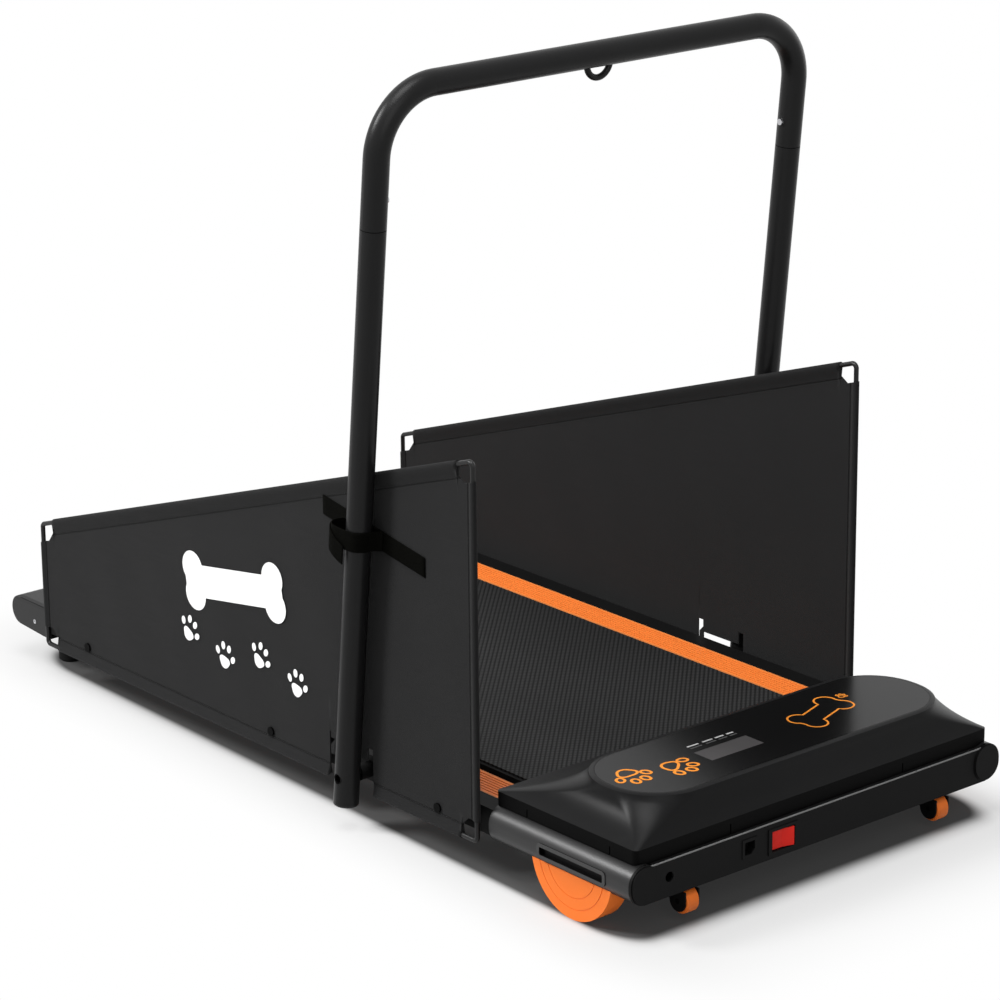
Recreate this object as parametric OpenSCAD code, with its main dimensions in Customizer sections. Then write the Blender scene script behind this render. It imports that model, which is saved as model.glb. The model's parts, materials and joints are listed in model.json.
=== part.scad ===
// Dog treadmill: a low motorised belt between two fabric guards, with a handle that folds back.
// Millimetres. X runs across the belt, the motor end faces -Y, Z is up and the floor is at zero.

/* [Base] */
// Length over the front tube caps and the rear end caps
base_l = 1132; // [1060:2:1240]
// How far the side beams' centre lines lie inside the hood's flanks
tube_tuck = 6.5; // [4:0.5:10]
// Width of a side beam
beam_w = 24; // [22:1:26]
// Height of a side beam
beam_h = 30; // [29:1:32]
// Wall of a side beam
beam_wall = 2; // [1.5:0.5:3]
// Height of the side beams' centre line above the floor
beam_z = 64; // [62:1:70]
// Width of a crossbar along the belt
crossbar_l = 40; // [30:1:60]
// Height of a crossbar
crossbar_h = 8; // [6:0.5:9]

/* [Belt and deck] */
// Bare strip of deck between the running belt and each rail
belt_gap = 10.5; // [9:0.5:14]
// Thickness of the running belt
belt_t = 2; // [1.5:0.1:2.5]
// Rise of the belt's top above the rails
belt_rise = 5; // [4:0.5:6]
// Diameter of the rollers
roller_d = 30; // [26:1:31]
// Diameter of the roller shafts
shaft_d = 12; // [10:1:14]
// Thickness of the deck board
deck_t = 12; // [10:1:13]
// Width of an orange side rail
rail_w = 38; // [34:1:42]
// Grooves along the top of each rail
rail_grooves = 7; // [4:1:10]

/* [Motor hood] */
// Length of the hood from its front to its edge over the belt
hood_l = 216; // [208:1:230]
// Width of the hood at its foot
hood_w = 511; // [490:0.5:540]
// Height of the upright trim band under the hood
trim_h = 17.3; // [15:0.1:22]
// Height of the flared hood above the trim
hood_h = 38.5; // [34:0.5:46]
// Wall of the hood and its trim
hood_wall = 2.5; // [2:0.1:3]
// Setback of the console rim from each flank of the hood
rim_side = 29.5; // [24:0.5:40]
// Depth of the raised console rim
rim_d = 135.5; // [128:0.5:150]
// Setback of the console rim from the hood's front
rim_setback = 11; // [8:1:20]

/* [Front] */
// Height of the front panel
front_h = 40.2; // [38:0.1:41]
// Thickness of the front panel
front_t = 2.5; // [2:0.1:3]
// How far the tube caps stand out in front of the panel
cap_proud = 2.2; // [2:0.1:4]
// How far the panel stands out in front of the hood
hood_setback = 5.8; // [4:0.1:8]
// How far a front tube cover stands out on each side of its beam
tube_side = 7.1; // [6.6:0.1:8.5]
// How far a front tube cover stands out above and below its beam
tube_rise = 5.9; // [5.4:0.1:7.5]
// Wall of a front tube cover
tube_wall = 2; // [1.5:0.1:2.2]
// Radius of a half-moon rocker foot
foot_r = 61.5; // [58:0.5:66]
// Thickness of a rocker foot
foot_t = 24; // [20:1:26]
// Diameter of a transport wheel
wheel_d = 29; // [26:0.5:31]
// Width of a transport wheel
wheel_w = 16; // [12:0.5:22]

/* [Guards] */
// Height of a guard at its front edge
guard_front_h = 423; // [360:0.5:440]
// Height of a guard at its rear edge
guard_rear_h = 157; // [140:0.5:240]
// Diameter of the bent guard wire
wire_d = 5.5; // [5:0.5:6.5]
// Thickness of the guard fabric between its hems
web_t = 2; // [1.5:0.1:2.4]
// Width of a webbing strap
strap_w = 22; // [16:1:26]

/* [Handle] */
// Diameter of the handle tube
handle_d = 28; // [25:0.5:29]
// Wall of the handle tube
handle_wall = 1.5; // [1.2:0.1:2]
// Forward lean of the handle in degrees
handle_lean = 6; // [2:0.5:10]
// Length of a post from its pivot to its joint with the upper tube
post_l = 617.7; // [560:0.1:640]
// Height of the top tube's centre line above the joint
bow_h = 144.3; // [120:0.1:180]
// Centre line radius of the top bends
bend_r = 70; // [50:1:90]
// Diameter of the pivot bolts' shoulder
pivot_d = 12; // [8:0.5:13]

/* [Hidden] */
$fn = 64;

// Clearances shared by all pieces
over = 1;
slip = 0.3;
run = 0.05;

// Places along the machine
front_y = -base_l / 2;
rear_y = base_l / 2;
face_y = front_y + cap_proud;
hood_front_y = face_y + hood_setback;
hood_rear_y = hood_front_y + hood_l;
front_roller_setback = 158;
front_roller_y = hood_front_y + front_roller_setback;
rear_roller_inset = 36;
rear_roller_y = rear_y - rear_roller_inset;
rear_cap_l = 82;
rear_cap_y = rear_y - rear_cap_l;

// Places across the machine
beam_x = hood_w / 2 - tube_tuck;
beam_in = beam_x - beam_w / 2;
beam_out = beam_x + beam_w / 2;
rail_side_gap = 0.5;
rail_out = beam_in - rail_side_gap;
rail_in = rail_out - rail_w;
belt_w = 2 * (rail_in - belt_gap);

// Heights
beam_top = beam_z + beam_h / 2;
beam_bottom = beam_z - beam_h / 2;
rail_top = beam_top;
belt_top = rail_top + belt_rise;
deck_top = belt_top - belt_t - slip;
deck_bottom = deck_top - deck_t;
roller_r = roller_d / 2;
roller_z = deck_top - roller_r;
front_rise = 2.5;
front_top = beam_top + front_rise;
front_bottom = front_top - front_h;
trim_gap = 0.5;
trim_bottom = front_top + trim_gap;
trim_top = trim_bottom + trim_h;
hood_top = trim_top + hood_h;

// Beams
beam_rear_inset = 18;
beam_rear_y = rear_y - beam_rear_inset;

// Crossbars and deck
crossbar_wall = 1.5;
crossbar_shares = [0.1, 0.5, 0.9];
cushion_r = 14;
deck_ahead = 7;
deck_end_gap = 4;
deck_over = 4;
deck_half = belt_w / 2 + deck_over;
deck_front_y = front_roller_y + roller_r + deck_ahead * 2;
deck_rear_y = rear_cap_y - deck_end_gap;
deck_l = deck_rear_y - deck_front_y;
cushion_h = 5;
crossbar_top = deck_bottom - cushion_h;
cushion_x_share = 0.8;

// Rails
rail_rear_y = rear_cap_y - slip;
rail_front_inset = 8;
rail_front_y = hood_rear_y - rail_front_inset;
groove_w = 1.6;
groove_d = 0.9;
rail_lip = 3;
rail_plate = 3;
rail_leg = 3;

// Rollers, bearings and pulleys
roller_over = 3;
roller_half = belt_w / 2 + roller_over;
bearing_w = 16;
bearing_r = 10.5;
bearing_down = 14;
bearing_in = beam_in - bearing_w;
shaft_r = shaft_d / 2;
shaft_short = 2;
shaft_half = beam_in - shaft_short;
pulley_w = 20;
pulley_gap = 1.5;
pulley_x = roller_half + pulley_gap;
pulley_lip = 1.2;
pulley_lip_w = 2;
roller_pulley_r = 15.7;
motor_pulley_r = 9;
tension_r = 3;
tension_head_r = 5.5;
tension_head_l = 6;
tension_sink = 6;
key_share = 0.55;

// Rear end caps
rear_cap_wall = 2.5;
rear_cap_out_gap = 1;
rear_cap_out = beam_out + rear_cap_out_gap;
rear_cap_low = 22;
rear_cap_bottom = beam_z - rear_cap_low;
rear_cap_rise = 2;
rear_cap_top = beam_top + rear_cap_rise;
nose_r = 18;
nose_z = rear_cap_top - nose_r;
rear_cap_edge = 6;
rear_cap_flat_share = 0.2;
rear_screw_share = 0.4;
rear_screw_y = rear_cap_y + rear_cap_l * rear_screw_share;
rear_screw_drop = 8;
rear_screw_r = 2;
rear_screw_head_r = 2.8;
rear_screw_head_l = 2.5;
shaft_hole_gap = 2;
shaft_hole_r = shaft_r + shaft_hole_gap;

// Rear feet
rear_foot_r = 15;
rear_foot_h = 16;
rear_foot_edge = 2;
rear_stem_r = 8;
rear_foot_in_share = 0.3;
rear_foot_x = rail_in + rear_foot_in_share * (rear_cap_out - rail_in);
rear_foot_y = rear_cap_y + rear_foot_in_share * rear_cap_l;

// Front tube covers, caps, rocker feet and recess bezels
tube_w = beam_w + 2 * tube_side;
tube_h = beam_h + 2 * tube_rise;
tube_drop = 0.8;
tube_z = beam_z - tube_drop;
tube_r = tube_w / 2;
tube_flat = tube_h - tube_w;
tube_rear_gap = 3;
tube_rear_y = hood_rear_y - tube_rear_gap;
cap_edge = 1.2;
foot_setback = 87.5;
foot_y = hood_front_y + foot_setback;
foot_inset = 3.5;
foot_out = beam_x + tube_r - foot_inset;
foot_top_share = 0.84;
foot_ring_shares = [0.6, 0.8];
foot_ring_w = 0.9;
foot_ring_d = 0.5;
tongue_l = 90;
tongue_w = 10;
recess_l = 105;
recess_h = 17;
recess_ahead = 3.5;
recess_y = foot_y - recess_ahead;
recess_drop = 2;
recess_z = beam_z - recess_drop;
recess_edge = 5;
recess_lip = 2.6;
recess_proud = 0.8;
recess_deep = 5;
recess_floor = 1.5;
recess_rib_t = 1.4;
recess_rib_share = 0.5;

// Front panel, pan, switch and port
pan_drop = 11;
pan_t = 1.5;
pan_bottom = beam_bottom - pan_drop;
pan_top = pan_bottom + pan_t;
pan_setback = 12;
pan_front_y = face_y + pan_setback;
pan_side_gap = 21;
pan_half = beam_in - pan_side_gap;
pan_rear_gap = 3;
pan_rear_y = hood_rear_y - pan_rear_gap;
pan_flange_l = 110;
pan_tab = 8;
panel_flange = 14;
entry_r = 5.5;
entry_in = 22.2;
entry_x = -(beam_in - entry_in);
entry_drop = 1.2;
entry_z = beam_z - entry_drop;
switch_x = -56.2;
switch_drop = 3.8;
switch_z = beam_z - switch_drop;
switch_w = 42.6;
switch_h = 29;
switch_lip = 1.2;
switch_wall = 1.5;
switch_deep = 18;
switch_frame = 5;
rocker_w = 30.4;
rocker_h = 20.4;
rocker_gap = 1.1;
rocker_tilt = 8;
rocker_axis_in = 6.9;
rocker_axis_y = face_y + rocker_axis_in;
rocker_pin_r = 1.5;
rocker_pin_l = 1;
rocker_out = 7;
rocker_dip = 1.6;
rocker_back = 5;
rocker_keel = 9;
port_x = -104;
port_drop = 1;
port_z = beam_z - port_drop;
port_w = 14;
port_cut = 5;
port_wall = 1.6;
port_deep = 11;
port_lip = 0.8;
port_flange = 1.8;

// Transport wheels
wheel_setback = 12.3;
wheel_y = face_y + wheel_setback;
wheel_x_share = 0.846;
wheel_x = pan_half * wheel_x_share;
wheel_under = 1;
wheel_z = front_bottom - wheel_under - wheel_d / 2;
axle_r = 3;
cheek_t = 1.5;
cheek_r_share = 0.8;
cheek_gap = 0.5;
cheek_back = 5;
well_gap = 1;
tread_edge = 1.5;

// Motor and controller
motor_r = 34;
motor_l = 120;
motor_neck_r = 12;
motor_neck_l = 6;
motor_back = 88;
motor_up = 17.3;
motor_y = front_roller_y - motor_back;
motor_z = roller_z + motor_up;
motor_shaft_r = 5;
motor_in = 27;
motor_x = pulley_x - motor_in - motor_l;
motor_band = 10;
motor_band_t = 1.2;
saddle_t = 4;
saddle_l = 80;
saddle_h_share = 0.7;
bore_in = 24;
drive_belt_t = 2.5;
drive_belt_side = 2.4;
board_w = 120;
board_l = 80;
board_t = 1.6;
board_up = 7;
board_in = 14;
board_x = -pan_half + board_in;
board_setback = 40;
board_y = hood_front_y + board_setback;
post_in = 6;
standoff_r = 3;
sink_w = 26;
sink_h = 26;
sink_fins = 6;
sink_base_share = 0.25;
cap_r = 9;
cap_h = 30;

// Hood
hood_corner_r = 6;
hood_flare = 2.1;
hood_corner_flare = 1.4;
hood_rings = 9;
hood_seg = 12;
rim_round_share = 0.96;
rim_fillet = 4.5;
rim_band = 7;
overlay_t = 2;
rim_w = hood_w - 2 * rim_side;
rim_y0 = hood_front_y + rim_setback;
rim_y1 = rim_y0 + rim_d;
gate_side = 4;
gate_up = 3;
slit_w = 1.6;
slit_h = 11;
slit_front_share = 0.49;
slit_side_shares = [0.18, 0.77];
display_w = 74;
display_d = 28;
display_x = -60;
display_setback = 72;
display_y = hood_front_y + display_setback;
display_t = 1.4;

// Guards
hem_wall = 1.1;
hem_gap = 0.1;
wire_r = wire_d / 2;
hem_r = wire_r + hem_gap + hem_wall;
guard_off = 24.5;
guard_x = beam_x + guard_off;
guard_gap = 5;
guard_front_y = hood_rear_y + guard_gap;
guard_rear_inset = 91.7;
guard_rear_y = rear_y - guard_rear_inset;
guard_low = 24;
guard_bottom = beam_z - guard_low;
wire_bend = 5;
corner_cut_along = 24;
corner_cut_up = 22;
corner_share = 0.55;
guard_rise = guard_front_h - guard_rear_h;
guard_l = guard_rear_y - guard_front_y;
guard_slope = atan2(guard_rise, guard_l);
screw_shares = [0.083, 0.443, 0.888];
screw_r = 2;
screw_head_r = 5.2;
screw_head_h = 1.9;
screw_in = 5;
spacer_r = 5;
notch_front = 22.7;
notch_rear = 53.3;
notch_h = 39.5;
slit_top = 15;
notch_slit = 8.5;
leg_w = 6.5;
leg_up = 29;
leg_lap = 1;
wire_stop = 6;

// Handle
handle_r = handle_d / 2;
handle_in_r = handle_r - handle_wall;
post_off = 18.7;
post_x = guard_x + post_off;
pivot_setback = 420.7;
pivot_y = hood_front_y + pivot_setback;
pivot_drop = 1.5;
pivot_z = beam_z - pivot_drop;
pivot_r = pivot_d / 2;
post_down = 30;
plug_t = 2;
plug_l = 14;
pivot_spacer_r = 9;
pivot_thread_r = 4;
pivot_nut_r = 7;
pivot_nut_t = 6;
pivot_socket_share = 0.82;
pivot_socket_r = pivot_r * pivot_socket_share;
pivot_socket_d = 5;
pivot_flush = 1;
sleeve_wall = 1.5;
sleeve_gap = 0.1;
sleeve_down = 50;
sleeve_up = 60;
joint_gap = 0.9;
joint_step = 0.6;
button_up = 29;
button_r = 3.5;
button_proud = 2.5;
button_flange_r = 5;
button_flange_t = 1.2;
button_z = post_l + button_up;
bow_z = post_l + bow_h;
loop_r = 16;
loop_wire_r = 3.5;
loop_sunk = 4;
strap_t = 1.3;
strap_gap = 0.2;
tab_l = 13;
strap_rear = 82;
strap_front = 89;
strap_fall_share = 0.164;
strap_drop = 16.2;

// Height of the strap on the post, so that its rear end stays under the guard's sloping top edge
strap_rise = guard_rise / guard_l;
strap_limit = guard_bottom + guard_rear_h + strap_rise * (guard_rear_y - pivot_y - strap_rear) - pivot_z;
strap_below = strap_drop + strap_w / 2 + strap_fall_share * strap_rear;
strap_z = (strap_limit - strap_below) / (cos(handle_lean) - strap_rise * sin(handle_lean));

// A 2D outline in Y and Z, extruded across the machine and centred on x
module across(x, w) {
    translate([x - w / 2, 0, 0]) rotate([90, 0, 90]) linear_extrude(w) children();
}

// A 2D outline in X and Z, extruded from y towards the rear
module along(y, l) {
    translate([0, y + l, 0]) rotate([90, 0, 0]) linear_extrude(l) children();
}

// A cylinder along X from x0 to x1
module bar_x(x0, x1, r) {
    translate([x0, 0, 0]) rotate([0, 90, 0]) cylinder(h = x1 - x0, r = r);
}

// A cylinder between two points of the XY plane
module rod(p, q, r) {
    translate([p.x, p.y, 0]) rotate([0, 90, atan2(q.y - p.y, q.x - p.x)])
        cylinder(h = norm(q - p), r = r);
}

// A rectangle with rounded corners, centred on the origin
module round_rect(w, h, r) {
    square([w - 2 * r, h], center = true);
    square([w, h - 2 * r], center = true);
    for (x = [-1, 1], y = [-1, 1])
        translate([x * (w / 2 - r), y * (h / 2 - r)]) circle(r);
}

// An upright oval with straight flanks, grown by a margin
module oval(grow = 0) {
    for (s = [-1, 1]) translate([0, s * tube_flat / 2]) circle(tube_r + grow);
    square([tube_w + 2 * grow, tube_flat], center = true);
}

module mirrored() {
    children();
    mirror([1, 0, 0]) children();
}

module flipped() {
    mirror([1, 0, 0]) children();
}

// Side beams, crossbars and deck

module beam() {
    start = face_y + front_t;
    difference() {
        translate([beam_in, start, beam_bottom]) cube([beam_w, beam_rear_y - start, beam_h]);
        translate([beam_in + beam_wall, start - over, beam_bottom + beam_wall])
            cube([beam_w - 2 * beam_wall, beam_rear_y - start + 2 * over, beam_h - 2 * beam_wall]);
        for (y = guard_screw_ys()) translate([0, y, pivot_z])
            bar_x(beam_out - beam_wall - over, beam_out + over, screw_r + run);
        translate([0, pivot_y, pivot_z])
            bar_x(beam_out - beam_wall - over, beam_out + over, pivot_thread_r + run);
        translate([0, rear_screw_y, beam_z - rear_screw_drop])
            bar_x(beam_out - beam_wall - over, beam_out + over, rear_screw_r + run);
    }
}

module left_beam() { color([0.09, 0.09, 0.095]) flipped() beam(); }

module right_beam() { color([0.09, 0.09, 0.095]) beam(); }

function crossbar_ys() = [for (s = crossbar_shares) deck_front_y + s * deck_l];

module crossbars() {
    bottom = crossbar_top - crossbar_h;
    color([0.12, 0.12, 0.125]) for (y = crossbar_ys()) difference() {
        translate([-beam_in, y - crossbar_l / 2, bottom]) cube([2 * beam_in, crossbar_l, crossbar_h]);
        translate([-beam_in - over, y - crossbar_l / 2 + crossbar_wall, bottom + crossbar_wall])
            cube([2 * beam_in + 2 * over, crossbar_l - 2 * crossbar_wall, crossbar_h - 2 * crossbar_wall]);
    }
}

module deck_board() {
    color([0.07, 0.07, 0.07]) translate([-deck_half, deck_front_y, deck_bottom])
        cube([2 * deck_half, deck_l, deck_t]);
}

module deck_cushions() {
    color([0.05, 0.05, 0.05]) for (y = crossbar_ys(), s = [-1, 1])
        translate([s * deck_half * cushion_x_share, y, crossbar_top])
            cylinder(h = cushion_h, r = cushion_r);
}

// Running belt, rails and rollers

module belt_outline(r) {
    for (y = [front_roller_y, rear_roller_y]) translate([y, roller_z]) circle(r);
    translate([front_roller_y, roller_z - r]) square([rear_roller_y - front_roller_y, 2 * r]);
}

module running_belt() {
    color([0.16, 0.16, 0.165]) across(0, belt_w) difference() {
        belt_outline(roller_r + slip + belt_t);
        belt_outline(roller_r + slip);
    }
}

module rail() {
    pitch = (rail_w - 2 * rail_lip) / rail_grooves;
    color([0.9, 0.42, 0.13]) along(rail_front_y, rail_rear_y - rail_front_y) difference() {
        translate([rail_in, crossbar_top]) square([rail_w, rail_top - crossbar_top]);
        translate([rail_in + rail_leg, crossbar_top - over])
            square([rail_w - 2 * rail_leg, rail_top - rail_plate - crossbar_top + over]);
        for (i = [0 : rail_grooves - 1])
            translate([rail_in + rail_lip + (i + 0.5) * pitch - groove_w / 2, rail_top - groove_d])
                square([groove_w, groove_d + over]);
    }
}

module left_rail() { flipped() rail(); }

module right_rail() { rail(); }

module roller(y) {
    color([0.55, 0.55, 0.57]) translate([0, y, roller_z]) {
        bar_x(-roller_half, roller_half, roller_r);
        bar_x(-shaft_half, shaft_half, shaft_r);
    }
}

module front_roller() { roller(front_roller_y); }

module rear_roller() { roller(rear_roller_y); }

module roller_pulley() {
    color([0.2, 0.2, 0.21]) translate([pulley_x, front_roller_y, roller_z]) rotate([0, 90, 0]) difference() {
        union() {
            cylinder(h = pulley_w, r = roller_pulley_r - pulley_lip);
            cylinder(h = pulley_lip_w, r = roller_pulley_r);
            translate([0, 0, pulley_w - pulley_lip_w]) cylinder(h = pulley_lip_w, r = roller_pulley_r);
        }
        translate([0, 0, -over]) cylinder(h = pulley_w + 2 * over, r = shaft_r + run);
    }
}

module bearing(y) {
    translate([0, y, roller_z]) difference() {
        union() {
            bar_x(bearing_in, beam_in, bearing_r);
            translate([beam_in - bearing_w / 2, -bearing_r, -bearing_down])
                cube([bearing_w / 2, 2 * bearing_r, bearing_down]);
        }
        bar_x(bearing_in - over, beam_in + over, shaft_r + run);
    }
}

module roller_bearings() {
    color([0.3, 0.3, 0.31]) mirrored() for (y = [front_roller_y, rear_roller_y]) bearing(y);
}

module tension_bolts() {
    color([0.5, 0.5, 0.52]) mirrored()
        translate([bearing_in + bearing_w / 4, rear_y - tension_sink, roller_z]) rotate([90, 0, 0])
            difference() {
                union() {
                    cylinder(h = tension_head_l, r = tension_head_r);
                    cylinder(h = rear_roller_inset - bearing_r - tension_sink, r = tension_r);
                }
                translate([0, 0, -over])
                    cylinder(h = tension_head_l * key_share + over, r = tension_head_r * key_share, $fn = 6);
            }
}

// Rear end caps and feet

module rear_cap_outline(inset = 0) {
    hull() {
        translate([rear_y - nose_r, nose_z]) circle(nose_r - inset, $fn = 48);
        translate([rear_cap_y, rear_cap_bottom + inset])
            square([rear_cap_l * rear_cap_flat_share, rear_cap_top - rear_cap_bottom - 2 * inset]);
    }
}

module rear_cap() {
    cap_w = rear_cap_out - rail_in;
    mid = (rear_cap_out + rail_in) / 2;
    color([0.1, 0.1, 0.105]) difference() {
        intersection() {
            across(mid, cap_w) rear_cap_outline();
            along(rear_cap_y, rear_cap_l) union() {
                translate([rail_in, rear_cap_bottom])
                    square([cap_w - rear_cap_edge, rear_cap_top - rear_cap_bottom]);
                translate([rail_in, rear_cap_bottom])
                    square([cap_w, rear_cap_top - rear_cap_bottom - rear_cap_edge]);
                translate([rear_cap_out - rear_cap_edge, rear_cap_top - rear_cap_edge]) circle(rear_cap_edge);
            }
        }
        across(mid, cap_w - 2 * rear_cap_wall) rear_cap_outline(rear_cap_wall);
        translate([beam_in - run, rear_cap_y - over, beam_bottom - run])
            cube([beam_w + 2 * run, beam_rear_y - rear_cap_y + over + run, beam_h + 2 * run]);
        translate([0, rear_roller_y, roller_z])
            bar_x(rail_in - over, rail_in + rear_cap_wall + over, shaft_hole_r);
        translate([bearing_in + bearing_w / 4, rear_y + over, roller_z]) rotate([90, 0, 0])
            cylinder(h = tension_sink + tension_head_l, r = tension_head_r + slip);
        translate([0, rear_screw_y, beam_z - rear_screw_drop]) {
            bar_x(beam_out - over, rear_cap_out + over, rear_screw_r + run);
            bar_x(rear_cap_out - rear_cap_out_gap / 2, rear_cap_out + over, rear_screw_head_r + run);
        }
    }
}

module left_rear_cap() { flipped() rear_cap(); }

module right_rear_cap() { rear_cap(); }

module rear_cap_screws() {
    half = rear_cap_out_gap / 2;
    color([0.6, 0.6, 0.62]) mirrored() translate([0, rear_screw_y, beam_z - rear_screw_drop]) difference() {
        union() {
            bar_x(beam_out - 2 * beam_wall, rear_cap_out, rear_screw_r);
            bar_x(rear_cap_out - half, rear_cap_out + half, rear_screw_head_r);
        }
        translate([rear_cap_out, 0, 0]) rotate([0, 90, 0])
            cylinder(h = rear_screw_head_l, r = rear_screw_head_r * key_share, $fn = 6);
    }
}

module rear_feet() {
    color([0.06, 0.06, 0.06]) mirrored() translate([rear_foot_x, rear_foot_y, 0]) rotate_extrude() polygon([
        [0, 0], [rear_foot_r - rear_foot_edge, 0], [rear_foot_r, rear_foot_edge], [rear_foot_r, rear_foot_h],
        [rear_foot_r - rear_foot_edge, rear_foot_h + rear_foot_edge],
        [rear_stem_r, rear_foot_h + rear_foot_edge], [rear_stem_r, rear_cap_bottom], [0, rear_cap_bottom]]);
}

// Front tube covers, their end caps, the rocker feet and the recess bezels

module tube_cover() {
    start = face_y + front_t;
    l = tube_rear_y - start;
    color([0.11, 0.11, 0.115]) difference() {
        along(start, l) translate([beam_x, tube_z]) oval();
        along(start - over, l + over - tube_wall) translate([beam_x, tube_z]) oval(-tube_wall);
        translate([beam_in - beam_w, start - over, 0]) cube([beam_w, l + 2 * over, hood_top]);
        translate([beam_in - over, start - over, beam_bottom - run])
            cube([beam_w + over + run, l + 2 * over, beam_h + 2 * run]);
        translate([foot_out - foot_t / 2 - tongue_w / 2 - slip, foot_y - tongue_l / 2 - slip, 0])
            cube([tongue_w + 2 * slip, tongue_l + 2 * slip, beam_bottom]);
        translate([0, recess_y, recess_z]) across(beam_x + tube_r, tube_w / 2)
            round_rect(recess_l - 2 * recess_lip + 2 * run, recess_h - 2 * recess_lip + 2 * run,
                recess_edge - recess_lip);
    }
}

module left_tube_cover() { flipped() tube_cover(); }

module right_tube_cover() { tube_cover(); }

module tube_end_caps() {
    color([0.1, 0.1, 0.105]) mirrored() {
        along(front_y + cap_edge, cap_proud - cap_edge) translate([beam_x, tube_z]) oval();
        along(front_y, cap_edge) translate([beam_x, tube_z]) oval(-cap_edge);
        difference() {
            along(face_y, front_t) translate([beam_x, tube_z]) oval();
            translate([0, face_y - over, 0]) cube([beam_x + run, front_t + 2 * over, hood_top]);
        }
    }
}

module rocker_foot() {
    top = foot_r * foot_top_share;
    color([0.88, 0.42, 0.14]) {
        difference() {
            translate([0, foot_y, foot_r]) bar_x(foot_out - foot_t, foot_out, foot_r);
            translate([foot_out - foot_t - over, foot_y - foot_r - over, top])
                cube([foot_t + 2 * over, 2 * foot_r + 2 * over, 2 * foot_r]);
            along(foot_y - foot_r - over, 2 * foot_r + 2 * over) translate([beam_x, tube_z]) oval(slip);
            for (s = foot_ring_shares) translate([foot_out - foot_ring_d, foot_y, foot_r]) rotate([0, 90, 0])
                difference() {
                    cylinder(h = foot_ring_d + over, r = foot_r * s + foot_ring_w);
                    translate([0, 0, -over]) cylinder(h = foot_ring_d + 3 * over, r = foot_r * s);
                }
        }
        translate([foot_out - foot_t / 2 - tongue_w / 2, foot_y - tongue_l / 2, foot_r / 2])
            cube([tongue_w, tongue_l, beam_bottom - foot_r / 2]);
    }
}

module left_rocker_foot() { flipped() rocker_foot(); }

module right_rocker_foot() { rocker_foot(); }

module recess_bezel() {
    face = beam_x + tube_r;
    lip_in = recess_h - 2 * recess_lip;
    translate([0, recess_y, recess_z]) difference() {
        union() {
            difference() {
                across(face + recess_proud - recess_lip / 2, recess_lip)
                    round_rect(recess_l, recess_h, recess_edge);
                translate([0, -recess_y, -recess_z]) along(recess_y - recess_l, 2 * recess_l)
                    translate([beam_x, tube_z]) oval(run);
            }
            across(face + recess_proud - recess_deep / 2 - recess_floor / 2, recess_deep + recess_floor)
                round_rect(recess_l - 2 * recess_lip, lip_in, recess_edge - recess_lip);
        }
        difference() {
            across(face + recess_proud - recess_deep / 2 + over / 2, recess_deep + over)
                round_rect(recess_l - 2 * recess_lip - 2 * recess_floor, lip_in - 2 * recess_floor,
                    recess_edge - recess_lip - recess_floor / 2);
            across(face + recess_proud - recess_deep, recess_deep)
                translate([0, lip_in * recess_rib_share / 2]) square([recess_l, recess_rib_t], center = true);
        }
    }
}

module recess_bezels() { color([0.14, 0.14, 0.145]) mirrored() recess_bezel(); }

// Front panel, pan, switch and port

module port_shape(w, cut) {
    difference() {
        square([w, w], center = true);
        translate([w / 2, -w / 2]) rotate(45) square([cut * sqrt(2), cut * sqrt(2)], center = true);
    }
}

module front_panel() {
    body_w = switch_w - 2 * switch_frame / 2;
    body_h = switch_h - 2 * switch_frame / 2;
    color([0.085, 0.085, 0.09]) {
        along(face_y, front_t) difference() {
            translate([-beam_x, front_bottom]) square([2 * beam_x, front_h]);
            translate([entry_x, entry_z]) circle(entry_r);
            translate([switch_x, switch_z]) square([body_w + 2 * run, body_h + 2 * run], center = true);
            translate([port_x, port_z]) port_shape(port_w + 2 * port_wall + 2 * run, port_cut);
        }
        translate([-beam_in, face_y + front_t, front_top - front_t])
            cube([2 * beam_in, panel_flange, front_t]);
    }
}

module belly_pan() {
    well = wheel_w / 2 + cheek_gap + cheek_t + well_gap;
    color([0.1, 0.1, 0.1]) difference() {
        union() {
            translate([-pan_half, pan_front_y, pan_bottom])
                cube([2 * pan_half, pan_rear_y - pan_front_y, pan_t]);
            mirrored() {
                translate([pan_half - pan_t, pan_front_y, pan_bottom])
                    cube([pan_t, pan_flange_l, beam_bottom + pan_t - pan_bottom]);
                translate([pan_half - pan_t, pan_front_y, beam_bottom])
                    cube([pan_side_gap + pan_t, pan_flange_l, pan_t]);
                translate([beam_in - pan_t, pan_front_y, beam_bottom]) cube([pan_t, pan_flange_l, pan_tab]);
            }
        }
        mirrored() translate([wheel_x - well, pan_front_y - over, pan_bottom - over])
            cube([2 * well, wheel_y + wheel_d / 2 + well_gap - pan_front_y + over, pan_t + 2 * over]);
    }
}

module switch_housing() {
    body_w = switch_w - 2 * switch_frame / 2;
    body_h = switch_h - 2 * switch_frame / 2;
    hole_w = rocker_w + 2 * rocker_gap;
    hole_h = rocker_h + 2 * rocker_gap;
    color([0.04, 0.04, 0.04]) difference() {
        union() {
            along(face_y - switch_lip, switch_lip) translate([switch_x, switch_z])
                round_rect(switch_w, switch_h, switch_lip);
            along(face_y, switch_deep) translate([switch_x, switch_z])
                square([body_w, body_h], center = true);
        }
        along(face_y - switch_lip - over, switch_deep + switch_lip + over - switch_wall)
            translate([switch_x, switch_z]) square([hole_w, hole_h], center = true);
        translate([switch_x, rocker_axis_y, switch_z - hole_h / 2 - rocker_pin_l - run])
            cylinder(h = hole_h + 2 * rocker_pin_l + 2 * run, r = rocker_pin_r + run, $fn = 32);
    }
}

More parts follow.
